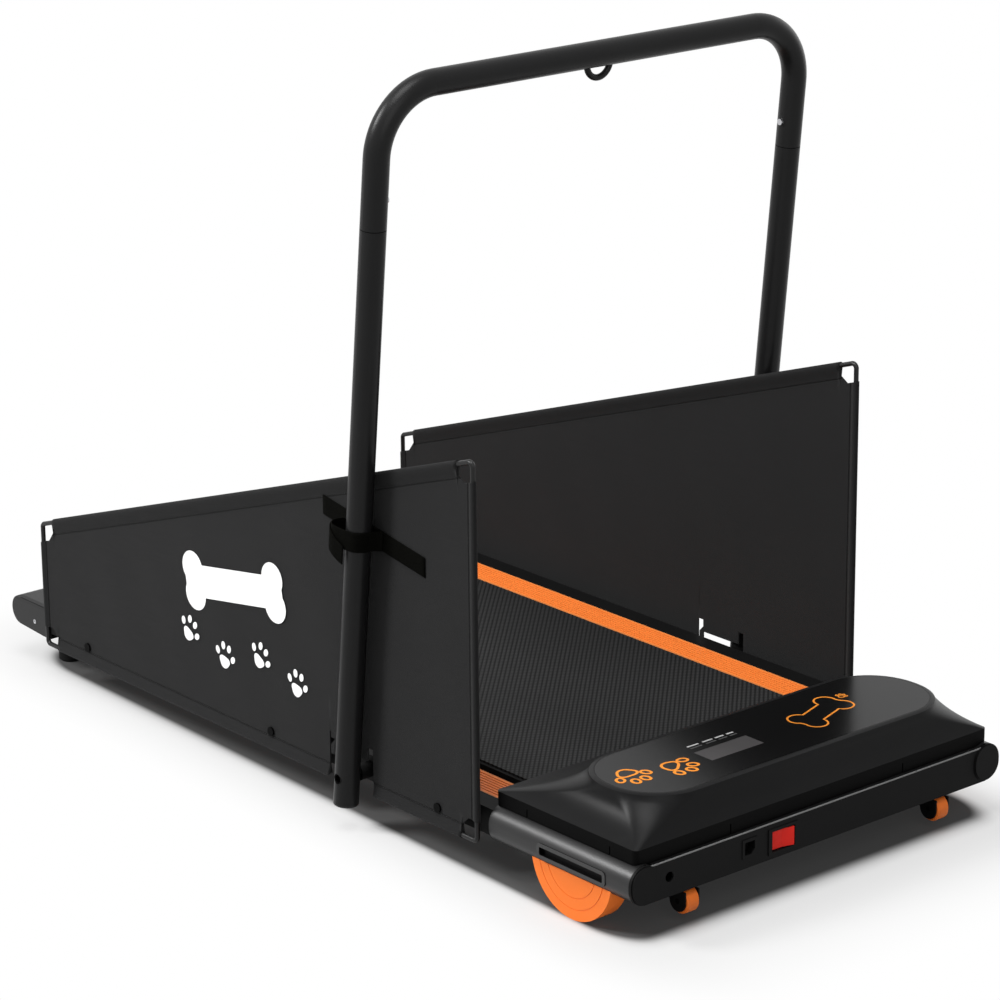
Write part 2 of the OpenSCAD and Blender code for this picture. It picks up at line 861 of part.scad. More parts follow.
module rocker_key() {
    half = rocker_w / 2;
    color([0.77, 0.12, 0.1]) translate([switch_x, rocker_axis_y, switch_z]) rotate([0, 0, -rocker_tilt]) {
        translate([0, 0, -rocker_h / 2]) linear_extrude(rocker_h) polygon([
            [-half, -rocker_out], [0, rocker_dip - rocker_out], [half, -rocker_out],
            [half, -rocker_out + rocker_back], [half / 2, rocker_back], [0, rocker_keel - rocker_back],
            [-half / 2, rocker_back], [-half, -rocker_out + rocker_back]]);
        translate([0, 0, -rocker_h / 2 - rocker_gap - rocker_pin_l])
            cylinder(h = rocker_h + 2 * rocker_gap + 2 * rocker_pin_l, r = rocker_pin_r, $fn = 32);
    }
}

module port_socket() {
    color([0.03, 0.03, 0.03]) difference() {
        union() {
            along(face_y - port_lip, port_lip) translate([port_x, port_z])
                port_shape(port_w + 2 * port_wall + 2 * port_flange, port_cut);
            along(face_y, port_deep) translate([port_x, port_z]) port_shape(port_w + 2 * port_wall, port_cut);
        }
        along(face_y - port_lip - over, port_deep + port_lip + over - port_wall)
            translate([port_x, port_z]) port_shape(port_w, port_cut);
    }
}

// Transport wheels under the front

module wheel_bracket() {
    r = wheel_d / 2;
    inner = wheel_w / 2 + cheek_gap;
    back = wheel_y + r + well_gap;
    translate([wheel_x, 0, 0]) difference() {
        union() {
            for (s = [-1, 1]) across(s * (inner + cheek_t / 2), cheek_t) {
                translate([wheel_y, wheel_z]) circle(r * cheek_r_share);
                translate([wheel_y - r * cheek_r_share, wheel_z])
                    square([r * cheek_r_share + r + well_gap + cheek_back, pan_bottom - wheel_z]);
            }
            translate([-inner - cheek_t, back, wheel_z])
                cube([2 * (inner + cheek_t), cheek_back, pan_bottom - wheel_z]);
        }
        translate([0, wheel_y, wheel_z]) bar_x(-inner - cheek_t - over, inner + cheek_t + over, axle_r);
    }
}

module wheel_brackets() { color([0.05, 0.05, 0.05]) mirrored() wheel_bracket(); }

module wheel_axles() {
    inner = wheel_w / 2 + cheek_gap + cheek_t;
    color([0.6, 0.6, 0.62]) mirrored() translate([wheel_x, wheel_y, wheel_z]) bar_x(-inner, inner, axle_r);
}

module wheel() {
    r = wheel_d / 2;
    half = wheel_w / 2;
    color([0.88, 0.42, 0.14]) translate([wheel_x, wheel_y, wheel_z]) rotate([0, 90, 0]) rotate_extrude()
        polygon([[axle_r + run, -half], [r - tread_edge, -half], [r, tread_edge - half],
            [r, half - tread_edge], [r - tread_edge, half], [axle_r + run, half]]);
}

module left_wheel() { flipped() wheel(); }

module right_wheel() { wheel(); }

// Motor, drive belt and controller

module motor() {
    color([0.16, 0.16, 0.17]) translate([0, motor_y, motor_z]) difference() {
        union() {
            bar_x(motor_x, motor_x + motor_l, motor_r);
            for (x = [motor_x + motor_band, motor_x + motor_l - 2 * motor_band])
                bar_x(x, x + motor_band, motor_r + motor_band_t);
            bar_x(motor_x - motor_neck_l, motor_x + motor_l + motor_neck_l, motor_neck_r);
        }
        bar_x(motor_x + motor_l - bore_in, motor_x + motor_l + motor_neck_l + over, motor_shaft_r + run);
    }
}

module motor_bracket() {
    color([0.35, 0.35, 0.36]) difference() {
        for (x = [motor_x + motor_band + saddle_t, motor_x + motor_l - motor_band - 2 * saddle_t])
            translate([x, motor_y - saddle_l / 2, pan_top])
                cube([saddle_t / 2, saddle_l, (motor_z - pan_top) * saddle_h_share]);
        translate([0, motor_y, motor_z])
            bar_x(motor_x - over, motor_x + motor_l + over, motor_r + motor_band_t + run);
    }
    color([0.35, 0.35, 0.36]) translate([motor_x + motor_band, motor_y - saddle_l / 2, pan_top])
        cube([motor_l - 2 * motor_band, saddle_l, saddle_t / 2]);
}

module motor_shaft() {
    color([0.6, 0.6, 0.62]) translate([0, motor_y, motor_z]) {
        bar_x(motor_x + motor_l - bore_in + slip, pulley_x + pulley_w, motor_shaft_r);
        bar_x(pulley_x, pulley_x + pulley_w, motor_pulley_r - pulley_lip);
        bar_x(pulley_x, pulley_x + pulley_lip_w, motor_pulley_r);
        bar_x(pulley_x + pulley_w - pulley_lip_w, pulley_x + pulley_w, motor_pulley_r);
    }
}

module drive_belt_outline(grow) {
    hull() {
        translate([front_roller_y, roller_z]) circle(roller_pulley_r - pulley_lip + grow);
        translate([motor_y, motor_z]) circle(motor_pulley_r - pulley_lip + grow);
    }
}

module drive_belt() {
    color([0.05, 0.05, 0.05]) across(pulley_x + pulley_w / 2, pulley_w - 2 * drive_belt_side) difference() {
        drive_belt_outline(slip + drive_belt_t);
        drive_belt_outline(slip);
    }
}

module controller_board() {
    floor_z = pan_top + board_up;
    pitch = sink_w / (sink_fins - 0.5);
    color([0.08, 0.25, 0.14]) {
        translate([board_x, board_y, floor_z]) cube([board_w, board_l, board_t]);
        for (x = [post_in, board_w - post_in], y = [post_in, board_l - post_in])
            translate([board_x + x, board_y + y, pan_top]) cylinder(h = board_up, r = standoff_r);
        translate([board_x + 2 * post_in, board_y + 2 * post_in, floor_z + board_t]) {
            cube([sink_w, board_l - 4 * post_in, sink_h * sink_base_share]);
            for (i = [0 : sink_fins - 1]) translate([i * pitch, 0, 0])
                cube([pitch / 2, board_l - 4 * post_in, sink_h]);
        }
        for (y = [1, 2])
            translate([board_x + board_w - 4 * post_in, board_y + y * board_l / 3, floor_z + board_t])
                cylinder(h = cap_h, r = cap_r);
    }
}

// Hood: trim band, flared cover and console

module trim_outline(inset) {
    translate([0, (hood_front_y + hood_rear_y) / 2])
        round_rect(hood_w - 2 * inset, hood_l - 2 * inset, hood_corner_r - inset);
}

module cover_trim() {
    color([0.06, 0.06, 0.065]) difference() {
        translate([0, 0, trim_bottom]) linear_extrude(trim_h) difference() {
            trim_outline(0);
            trim_outline(hood_wall);
        }
        mirrored() along(hood_front_y - over, hood_l + 2 * over) translate([beam_x, tube_z]) oval(slip);
        along(hood_rear_y - hood_wall - over, hood_wall + 2 * over)
            translate([-belt_w / 2 - gate_side, trim_bottom - over])
                square([belt_w + 2 * gate_side, belt_top + gate_up - trim_bottom + over]);
        translate([0, hood_front_y, trim_bottom - over]) for (s = [-1, 1]) {
            translate([s * slit_front_share * hood_w / 2 - slit_w / 2, -over, 0])
                cube([slit_w, hood_wall + 2 * over, slit_h + over]);
            for (f = slit_side_shares)
                translate([s * hood_w / 2 - hood_wall - over, f * hood_l - slit_w / 2, 0])
                    cube([2 * hood_wall + 2 * over, slit_w, slit_h + over]);
        }
    }
}

// One closed ring of points: a rounded rectangle from y0 to y1 at height z
function ring(half, y0, y1, r, z) = [
    for (c = [0 : 3], i = [0 : hood_seg])
        let (a = 90 * (c + i / hood_seg), sx = (c == 0 || c == 3) ? 1 : -1, sy = c < 2 ? 1 : -1)
        [sx * (half - r) + r * cos(a), (y0 + y1) / 2 + sy * ((y1 - y0) / 2 - r) + r * sin(a), z]];

function mix(a, b, t) = a + (b - a) * t;

// The flared skirt at a share h of its height, drawn in by a margin
function skirt(h, inset) =
    let (
        e = 1 - pow(1 - h, hood_flare),
        y0 = mix(hood_front_y, rim_y0, e) + inset,
        y1 = mix(hood_rear_y, rim_y1, e) - inset,
        round_full = rim_d / 2 * rim_round_share,
        r = mix(hood_corner_r, round_full, pow(h, hood_corner_flare)) - inset)
    ring(mix(hood_w / 2, rim_w / 2, e) - inset, y0, y1, r, trim_top + h * (hood_h - rim_fillet));

// The flat rim and its recess, drawn in by a margin at height z
function rim(inset, z) =
    ring(rim_w / 2 - inset, rim_y0 + inset, rim_y1 - inset, rim_d / 2 * rim_round_share - inset, z);

// Rings from the outer foot, over the rim and into the overlay's recess
function hood_outside() = concat(
    [for (i = [0 : hood_rings]) skirt(i / hood_rings, 0)],
    [rim(rim_fillet * (1 - cos(45)), hood_top - rim_fillet * (1 - sin(45))),
     rim(rim_fillet, hood_top), rim(rim_band, hood_top), rim(rim_band, hood_top - overlay_t)]);

// Rings inside the wall, from the foot up to the underside of the recess
function hood_inside() =
    let (top_share = (hood_h - overlay_t - hood_wall) / (hood_h - rim_fillet))
    [for (i = [0 : hood_rings]) skirt(top_share * i / hood_rings, hood_wall)];

module motor_cover() {
    n = 4 * (hood_seg + 1);
    outside = hood_outside();
    inside = hood_inside();
    a = len(outside);
    b = len(inside);
    rings = concat([for (i = [b - 1 : -1 : 0]) inside[i]], outside);
    points = [for (k = rings) each k];
    sides = [for (k = [0 : a + b - 2], i = [0 : n - 1])
        let (p = k * n + i, q = k * n + (i + 1) % n) each [[p, q, q + n], [p, q + n, p + n]]];
    color([0.15, 0.15, 0.155])
        polyhedron(points, concat([for (f = sides) [f[0], f[2], f[1]]], [[for (i = [0 : n - 1]) i]],
            [[for (i = [n - 1 : -1 : 0]) (a + b - 1) * n + i]]), convexity = 6);
}

module console_outline(inset) {
    w = rim_w - 2 * rim_band - 2 * inset;
    d = rim_d - 2 * rim_band - 2 * inset;
    translate([0, (rim_y0 + rim_y1) / 2]) round_rect(w, d, rim_d / 2 * rim_round_share - rim_band - inset);
}

module console_panel() {
    color([0.09, 0.09, 0.095]) difference() {
        translate([0, 0, hood_top - overlay_t]) linear_extrude(overlay_t) console_outline(slip);
        translate([display_x - display_w / 2 - run, display_y - display_d / 2 - run, hood_top - display_t])
            cube([display_w + 2 * run, display_d + 2 * run, display_t + over]);
    }
}

module display_window() {
    color([0.3, 0.29, 0.29])
        translate([display_x - display_w / 2, display_y - display_d / 2, hood_top - display_t])
            cube([display_w, display_d, display_t]);
}

// Guards: bent wires, hemmed fabric, screws and straps

function guard_top(y) = guard_bottom + guard_rear_h + (guard_rear_y - y) * tan(guard_slope);

// Corners of the wire's centre line, in Y and Z, from the rear bottom round by the rear top
function wire_corners() =
    let (top_in = hem_r / cos(guard_slope), rear = guard_rear_y - hem_r, front = guard_front_y + hem_r)
    [[rear, guard_bottom + hem_r], [rear, guard_top(rear) - top_in],
     [front, guard_top(front) - top_in], [front, guard_bottom + hem_r]];

function unit(v) = v / norm(v);

// Length that a bend takes off each leg at corner i
function bend_cut(c, i) =
    let (u = unit(c[(i + 3) % 4] - c[i]), v = unit(c[(i + 1) % 4] - c[i]), half = acos(u * v) / 2)
    wire_bend / tan(half);

module wire_bend_at(c, i, r) {
    u = unit(c[(i + 3) % 4] - c[i]);
    v = unit(c[(i + 1) % 4] - c[i]);
    half = acos(u * v) / 2;
    hub = c[i] + unit(u + v) * wire_bend / sin(half);
    out = -unit(u + v);
    sweep = 180 - 2 * half;
    translate([hub.x, hub.y, 0]) rotate(atan2(out.y, out.x) - sweep / 2)
        rotate_extrude(angle = sweep) translate([wire_bend, 0]) circle(r, $fn = 24);
}

module guard_plane() {
    translate([guard_x, 0, 0]) rotate([90, 0, 90]) children();
}

module guard_wire() {
    c = wire_corners();
    color([0.08, 0.08, 0.085]) guard_plane() for (i = [0 : 3]) {
        j = (i + 1) % 4;
        d = unit(c[j] - c[i]);
        p = c[i] + d * (bend_cut(c, i) - run);
        q = c[j] - d * (bend_cut(c, j) - run);
        if (i < 3) rod(p, q, wire_r, $fn = 24);
        else {
            rod(p, [pivot_y - notch_front - wire_stop, p.y], wire_r, $fn = 24);
            rod([pivot_y + notch_rear + wire_stop, q.y], q, wire_r, $fn = 24);
        }
        wire_bend_at(c, i, wire_r + run);
    }
}

module left_guard_wire() { flipped() guard_wire(); }

module right_guard_wire() { guard_wire(); }

function guard_screw_ys() = [for (s = screw_shares) guard_front_y + s * guard_l];

// Ends of the hems, two for each side, with the corners cut away
function hem_ends() =
    let (c = wire_corners(), up = [0, corner_cut_up], flat = [corner_cut_along, 0],
        slope = [corner_cut_along, -corner_cut_along * tan(guard_slope)])
    [c[0] + up, c[1] - up, c[1] - slope, c[2] + slope, c[2] - up, c[3] + up, c[3] + flat, c[0] - flat];

// Outline of the cloth: each corner is cut out square, with its inner corner cut off
function web_points() =
    let (c = wire_corners(), k = corner_share, up = [0, corner_cut_up], flat = [corner_cut_along, 0],
        slope = [corner_cut_along, -corner_cut_along * tan(guard_slope)])
    [c[0] - flat, c[0] - flat + k * up, c[0] + up - k * flat, c[0] + up,
     c[1] - up, c[1] - up - k * slope, c[1] - k * up - slope, c[1] - slope,
     c[2] + slope, c[2] + slope - k * up, c[2] - up + k * slope, c[2] - up,
     c[3] + up, c[3] + up + k * flat, c[3] + k * up + flat, c[3] + flat];

module guard_web() {
    difference() {
        polygon(web_points());
        translate([pivot_y - notch_front, 0]) square([notch_front + notch_rear, guard_bottom + notch_h]);
        for (y = [pivot_y - notch_front, pivot_y + notch_rear - notch_slit])
            translate([y, guard_bottom]) square([notch_slit, notch_h + slit_top]);
    }
    fall = leg_up - notch_h;
    translate([pivot_y + notch_rear - notch_slit, guard_bottom + notch_h])
        polygon([[-leg_lap, 0], [-leg_lap, leg_w], [0, leg_w], [leg_w, 0], [leg_w, fall], [0, fall], [0, 0]]);
}

module guard_cover() {
    e = hem_ends();
    c = wire_corners();
    color([0.13, 0.13, 0.135]) guard_plane() difference() {
        union() {
            linear_extrude(web_t, center = true) guard_web();
            for (i = [0, 2, 4]) rod(e[i], e[i + 1], hem_r, $fn = 32);
            rod(e[6], [pivot_y - notch_front, e[6].y], hem_r, $fn = 32);
            rod([pivot_y + notch_rear, e[6].y], e[7], hem_r, $fn = 32);
        }
        for (i = [0 : 3]) rod(c[i], c[(i + 1) % 4], wire_r + hem_gap, $fn = 24);
        for (y = guard_screw_ys()) translate([y, pivot_z, -web_t])
            cylinder(h = 2 * web_t, r = screw_r + run, $fn = 24);
    }
}

module left_guard_cover() { flipped() guard_cover(); }

module right_guard_cover() { guard_cover(); }

module guard_screws() {
    color([0.05, 0.05, 0.05]) mirrored() for (y = guard_screw_ys()) translate([0, y, pivot_z]) {
        bar_x(beam_out - screw_in, guard_x + web_t / 2, screw_r);
        bar_x(guard_x + web_t / 2, guard_x + web_t / 2 + screw_head_h, screw_head_r);
    }
}

module guard_spacers() {
    color([0.2, 0.2, 0.2]) mirrored() for (y = guard_screw_ys()) translate([0, y, pivot_z]) difference() {
        bar_x(beam_out, guard_x - web_t / 2, spacer_r);
        bar_x(beam_out - over, guard_x, screw_r + run);
    }
}

// The strap's sewn part lies flat on the guard and passes behind the post
module strap_strip() {
    z = pivot_z + strap_z * cos(handle_lean);
    y = pivot_y - strap_z * sin(handle_lean);
    rear_z = z + strap_rear * strap_fall_share;
    front_z = z - strap_front * strap_fall_share;
    polygon([[y - strap_front, front_z - strap_w / 2], [y + strap_rear, rear_z - strap_w / 2],
        [y + strap_rear, rear_z + strap_w / 2], [y - strap_front, front_z + strap_w / 2]]);
}

module strap_tails() {
    color([0.07, 0.07, 0.065]) mirrored()
        across(guard_x + web_t / 2 + strap_gap + strap_t / 2, strap_t) strap_strip();
}

// Handle: pivots, posts, top tube and what it carries

module pivot_spacers() {
    color([0.12, 0.12, 0.12]) mirrored() translate([0, pivot_y, pivot_z]) difference() {
        bar_x(beam_out, post_x - handle_r - slip, pivot_spacer_r);
        bar_x(beam_out - over, post_x, pivot_r + run);
    }
}

module pivot_bolts() {
    end = post_x + handle_r - pivot_flush;
    color([0.2, 0.2, 0.21]) mirrored() translate([0, pivot_y, pivot_z]) difference() {
        union() {
            bar_x(beam_out, end, pivot_r);
            bar_x(beam_out - beam_w / 2, beam_out, pivot_thread_r);
            translate([beam_out - beam_wall - pivot_nut_t, 0, 0]) rotate([0, 90, 0])
                cylinder(h = pivot_nut_t, r = pivot_nut_r, $fn = 6);
        }
        translate([end - pivot_socket_d, 0, 0]) rotate([0, 90, 0])
            cylinder(h = pivot_socket_d + over, r = pivot_socket_r, $fn = 6);
    }
}

// The handle's own frame stands on the pivot axis and leans with the posts
module handle_frame() {
    translate([0, pivot_y, pivot_z]) rotate([handle_lean, 0, 0]) children();
}

module pipe(r0, r1, z0, z1) {
    translate([0, 0, z0]) linear_extrude(z1 - z0) difference() {
        circle(r1);
        circle(r0);
    }
}

module post() {
    color([0.1, 0.1, 0.105]) handle_frame() translate([post_x, 0, 0]) difference() {
        pipe(handle_in_r, handle_r, -post_down, post_l);
        bar_x(-handle_d, handle_d, pivot_r + run);
    }
}

module left_post() { flipped() post(); }

module right_post() { post(); }

module post_plugs() {
    color([0.04, 0.04, 0.04]) mirrored() handle_frame() translate([post_x, 0, -post_down]) {
        translate([0, 0, -plug_t]) cylinder(h = plug_t, r = handle_r);
        cylinder(h = plug_l, r = handle_in_r);
    }
}

module pipe_section() {
    difference() {
        circle(handle_r);
        circle(handle_in_r);
    }
}

module upper_handle() {
    flat = post_x - bend_r;
    color([0.11, 0.11, 0.115]) handle_frame() {
        translate([-flat, 0, bow_z]) rotate([90, 0, 90]) linear_extrude(2 * flat) pipe_section();
        mirrored() {
            difference() {
                translate([post_x, 0, 0]) pipe(handle_in_r, handle_r, post_l + joint_gap, bow_z - bend_r);
                translate([post_x, 0, button_z]) bar_x(-handle_d, 0, button_r + run);
            }
            translate([flat, 0, bow_z - bend_r]) rotate([90, 0, 0])
                rotate_extrude(angle = 90) translate([bend_r, 0]) pipe_section();
        }
    }
}

module handle_sleeves() {
    outer = handle_in_r - sleeve_gap;
    color([0.4, 0.4, 0.41]) mirrored() handle_frame() translate([post_x, 0, 0]) difference() {
        union() {
            pipe(outer - sleeve_wall, outer, post_l - sleeve_down, post_l + sleeve_up);
            pipe(outer - sleeve_wall, handle_r - joint_step, post_l, post_l + joint_gap);
        }
        translate([0, 0, button_z]) bar_x(-handle_d, 0, button_r + run);
    }
}

module snap_button() {
    inner = handle_in_r - sleeve_gap - sleeve_wall;
    color([0.6, 0.6, 0.62]) handle_frame() translate([post_x, 0, button_z]) {
        bar_x(-handle_r - button_proud, -inner / 2, button_r);
        bar_x(-inner / 2, button_flange_t - inner / 2, button_flange_r);
    }
}

module left_snap_button() { flipped() snap_button(); }

module right_snap_button() { snap_button(); }

module leash_loop() {
    hub = bow_z - handle_r + loop_sunk;
    color([0.06, 0.06, 0.06]) handle_frame() difference() {
        translate([0, 0, hub]) rotate([90, 0, 0]) rotate(180) rotate_extrude(angle = 180)
            translate([loop_r, 0]) circle(loop_wire_r, $fn = 32);
        translate([0, 0, bow_z]) bar_x(-2 * loop_r, 2 * loop_r, handle_r);
    }
}

module strap_loops() {
    inner = handle_r + strap_gap;
    color([0.06, 0.06, 0.055]) mirrored() handle_frame() translate([post_x, 0, strap_z]) {
        pipe(inner, inner + strap_t, -strap_w / 2, strap_w / 2);
        translate([-strap_t, inner + strap_t / 2, -strap_w / 2]) cube([2 * strap_t, tab_l, strap_w]);
    }
}

left_beam();
right_beam();
crossbars();
deck_board();
deck_cushions();
running_belt();
left_rail();
right_rail();
roller_bearings();
tension_bolts();
left_rear_cap();
right_rear_cap();
rear_cap_screws();
rear_feet();
left_tube_cover();
right_tube_cover();
tube_end_caps();
left_rocker_foot();
right_rocker_foot();
recess_bezels();
front_panel();
belly_pan();
wheel_brackets();
wheel_axles();
motor();
motor_bracket();
drive_belt();
controller_board();
cover_trim();
motor_cover();
console_panel();
display_window();
switch_housing();
port_socket();
left_guard_wire();
right_guard_wire();
left_guard_cover();
right_guard_cover();
guard_screws();
guard_spacers();
strap_tails();
pivot_spacers();
pivot_bolts();
left_post();
right_post();
upper_handle();
handle_sleeves();
post_plugs();
leash_loop();
strap_loops();
rocker_key();
front_roller();
roller_pulley();
rear_roller();
motor_shaft();
left_wheel();
right_wheel();
left_snap_button();
right_snap_button();
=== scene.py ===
import json
import math

import bmesh
import bpy
import numpy as np
from mathutils import Matrix, Vector


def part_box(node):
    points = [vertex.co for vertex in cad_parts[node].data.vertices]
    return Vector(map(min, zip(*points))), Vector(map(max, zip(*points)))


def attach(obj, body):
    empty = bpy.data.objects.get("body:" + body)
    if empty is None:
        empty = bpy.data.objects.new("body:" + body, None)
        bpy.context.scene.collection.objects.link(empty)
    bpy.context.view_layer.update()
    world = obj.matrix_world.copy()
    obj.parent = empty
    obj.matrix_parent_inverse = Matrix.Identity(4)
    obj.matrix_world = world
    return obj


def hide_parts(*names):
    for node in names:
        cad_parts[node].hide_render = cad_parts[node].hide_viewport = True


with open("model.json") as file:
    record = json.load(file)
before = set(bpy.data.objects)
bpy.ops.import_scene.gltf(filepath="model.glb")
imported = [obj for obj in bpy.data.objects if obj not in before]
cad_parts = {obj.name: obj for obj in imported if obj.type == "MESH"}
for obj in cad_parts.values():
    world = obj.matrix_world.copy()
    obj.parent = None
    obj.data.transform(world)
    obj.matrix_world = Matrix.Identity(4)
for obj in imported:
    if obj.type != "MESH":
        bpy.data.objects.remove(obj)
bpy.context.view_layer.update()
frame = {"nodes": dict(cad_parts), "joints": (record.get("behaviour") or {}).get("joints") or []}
nodes = frame["nodes"]
print("frame loaded:", len(nodes), "nodes")

mm = 0.001  # lengths are in metres, but drawn outlines are in millimetres
sides = ((-1, "left"), (1, "right"))
hinge = next(j for j in frame["joints"] if j["name"] == "handle_fold")
hingeY, hingeZ = hinge["pos_m"][1:]


def middleOf(node):
    low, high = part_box(node)
    return (low + high) / 2


cameraView = {
    "target": (0.6043, 0.6730, -0.0132),
    "distance": 5.1205,
    "azimuth": -39.95,  # degrees, as the next two
    "elevation": 17.85,
    "roll": -0.57,
    "lens": 132.64,  # millimetres, as the sensor
    "sensor": 36.0,
    "clip": (0.05, 100),
}


def makeCamera(s):
    a, e, roll = (math.radians(s[k]) for k in ("azimuth", "elevation", "roll"))
    back = Vector((math.sin(a) * math.cos(e), -math.cos(a) * math.cos(e), math.sin(e)))
    right = Vector((math.cos(a), math.sin(a), 0))
    up = back.cross(right)
    turned = right * math.cos(roll) + up * math.sin(roll)
    upright = up * math.cos(roll) - right * math.sin(roll)
    data = bpy.data.cameras.new("photoView")
    data.lens, data.sensor_width = s["lens"], s["sensor"]
    data.clip_start, data.clip_end = s["clip"]
    cam = bpy.data.objects.new("photoView", data)
    place = Matrix((turned, upright, back)).transposed().to_4x4()
    place.translation = Vector(s["target"]) + back * s["distance"]
    cam.matrix_world = place
    bpy.context.scene.collection.objects.link(cam)
    bpy.context.scene.camera = cam


makeCamera(cameraView)
print("camera set")


class Val:
    # a shader value: an expression on values adds its Math nodes
    def __init__(self, paint, socket):
        self.paint, self.socket = paint, socket

    def __add__(self, other):
        return self.paint.calc("ADD", self, other)

    def __sub__(self, other):
        return self.paint.calc("SUBTRACT", self, other)

    def __rsub__(self, other):
        return self.paint.calc("SUBTRACT", other, self)

    def __mul__(self, other):
        return self.paint.calc("MULTIPLY", self, other)

    def __pow__(self, other):
        return self.paint.calc("POWER", self, other)

    def __rpow__(self, other):
        return self.paint.calc("POWER", other, self)

    def __abs__(self):
        return self.paint.calc("ABSOLUTE", self)

    __radd__ = __add__
    __rmul__ = __mul__

    def sin(self):
        return self.paint.calc("SINE", self)

    def below(self, other):
        return self.paint.calc("LESS_THAN", self, other)

    def above(self, other):
        return self.paint.calc("GREATER_THAN", self, other)

    def atMost(self, other):
        return self.paint.calc("MINIMUM", self, other)

    def atLeast(self, other):
        return self.paint.calc("MAXIMUM", self, other)

    def wrap(self, other):
        return self.paint.calc("PINGPONG", self, other)

    def swing(self, by):
        return (self - 0.5) * by  # a pattern from 0 to 1 as a change either way

    def raised(self):
        return self * 0.5 + 0.5  # a wave from -1 to 1 as a pattern from 0 to 1

    def part(self, name):
        return Val(self.paint, self.socket.node.outputs[name])


def grey(level):
    return (level, level, level)


def scaled(color, by):
    return tuple(c * by for c in color)


def opaque(color):
    return (*color, 1) if isinstance(color, tuple) else color


class Paint:
    # a material or a world, with the nodes that make it
    def __init__(self, name, kind="materials"):
        self.mat = getattr(bpy.data, kind).new(name)
        self.mat.use_nodes = True
        self.tree = self.mat.node_tree
        self.tree.nodes.clear()

    def node(self, kind, settings=None, sockets=None, out=0):
        n = self.tree.nodes.new("ShaderNode" + kind)
        for key, value in (settings or {}).items():
            if key == "stops":
                for stop, (at, level) in zip(n.color_ramp.elements, value):
                    stop.position, stop.color = at, opaque(grey(level))
            else:
                setattr(n, key, value)
        for key, value in (sockets or {}).items():
            if isinstance(value, Val):
                self.tree.links.new(value.socket, n.inputs[key])
            else:
                n.inputs[key].default_value = value
        return Val(self, n.outputs[out])

    def calc(self, kind, *values):
        return self.node("Math", {"operation": kind}, dict(enumerate(values)))

    def place(self, uv=False):
        return self.node("TexCoord", out="UV" if uv else "Object")

    def axes(self, letters, uv=False):
        split = self.node("SeparateXYZ", None, {0: self.place(uv)})
        return [split.part(letter) for letter in letters]

    def seen(self):
        # 1 for what the camera, a mirror or glass shows, 0 for light on other surfaces
        camera = self.node("LightPath", out="Is Camera Ray")
        return camera.atLeast(camera.part("Is Glossy Ray")).atLeast(camera.part("Is Transmission Ray"))

    def noise(self, scale, detail, stretch=(1, 1, 1), uv=False):
        at = self.node("Mapping", None, {"Vector": self.place(uv), "Scale": stretch})
        return self.node("TexNoise", None, {"Vector": at, "Scale": scale, "Detail": detail})

    def ramp(self, value, stops):
        return self.node("ValToRGB", {"stops": stops}, {0: value})

    def ease(self, value, start, end):
        # a soft step from 0 at the start to 1 at the end
        return self.node("MapRange", {"interpolation_type": "SMOOTHSTEP"}, {0: value, 1: start, 2: end})

    def blend(self, factor, a, b):
        return self.node("Mix", {"data_type": "RGBA"}, {0: factor, 6: opaque(a), 7: opaque(b)}, out=2)

    def tinted(self, pattern, s):
        return self.blend(pattern, *(scaled(s["color"], tint) for tint in s["tints"]))

    def bump(self, height, depth, under=None):
        links = {"Height": height, "Distance": depth}
        if under is not None:
            links["Normal"] = under
        return self.node("Bump", None, links)

    def finish(self, **sockets):
        names = {"color": "Base Color", "rough": "Roughness", "metal": "Metallic", "normal": "Normal",
                 "spec": "Specular IOR Level", "sheen": "Sheen Weight", "sheenRough": "Sheen Roughness"}
        links = {names[k]: opaque(v) for k, v in sockets.items()}
        return self.output(self.node("BsdfPrincipled", None, links))

    def output(self, surface, kind="Material"):
        out = self.tree.nodes.new("ShaderNodeOutput" + kind)
        self.tree.links.new(surface.socket, out.inputs["Surface"])
        return self.mat


# finishes: a noise is its scale, its detail and, where it isn't even, its stretch
powderCoat = {
    "color": (0.009, 0.009, 0.0092), "tints": (0.8, 1.25), "rough": 0.33, "spec": 0.13,
    "peel": (520, 2), "depth": 0.00006, "cloud": (9, 4), "cloudRough": 0.12,
    "fine": (2600, 1), "fineRough": 0.1, "fineShare": 0.4,
}


def paintPowder(name, s, **change):
    p, s = Paint(name), {**s, **change}
    peel, cloud, fine = (p.noise(*s[k]) for k in ("peel", "cloud", "fine"))
    rough = s["rough"] + cloud.swing(s["cloudRough"]) + fine.swing(s["fineRough"])
    return p.finish(color=p.tinted(cloud, s), rough=rough, spec=s["spec"],
                    normal=p.bump(peel + fine * s["fineShare"], s["depth"]))


mouldedShell = {
    "color": (0.006, 0.006, 0.0062), "tints": (0.85, 1.2), "rough": 0.42, "spec": 0.28,
    "grain": (1500, 2), "depth": 0.00009, "cloud": (6, 5), "cloudRough": 0.14,
    "scuff": (42, 6, (1, 1, 3)), "scuffStops": ((0.62, 0), (0.8, 1)),
    "scuffTint": 2.4, "scuffShare": 0.12, "scuffRough": 0.07, "edgeShare": 0.9,
}


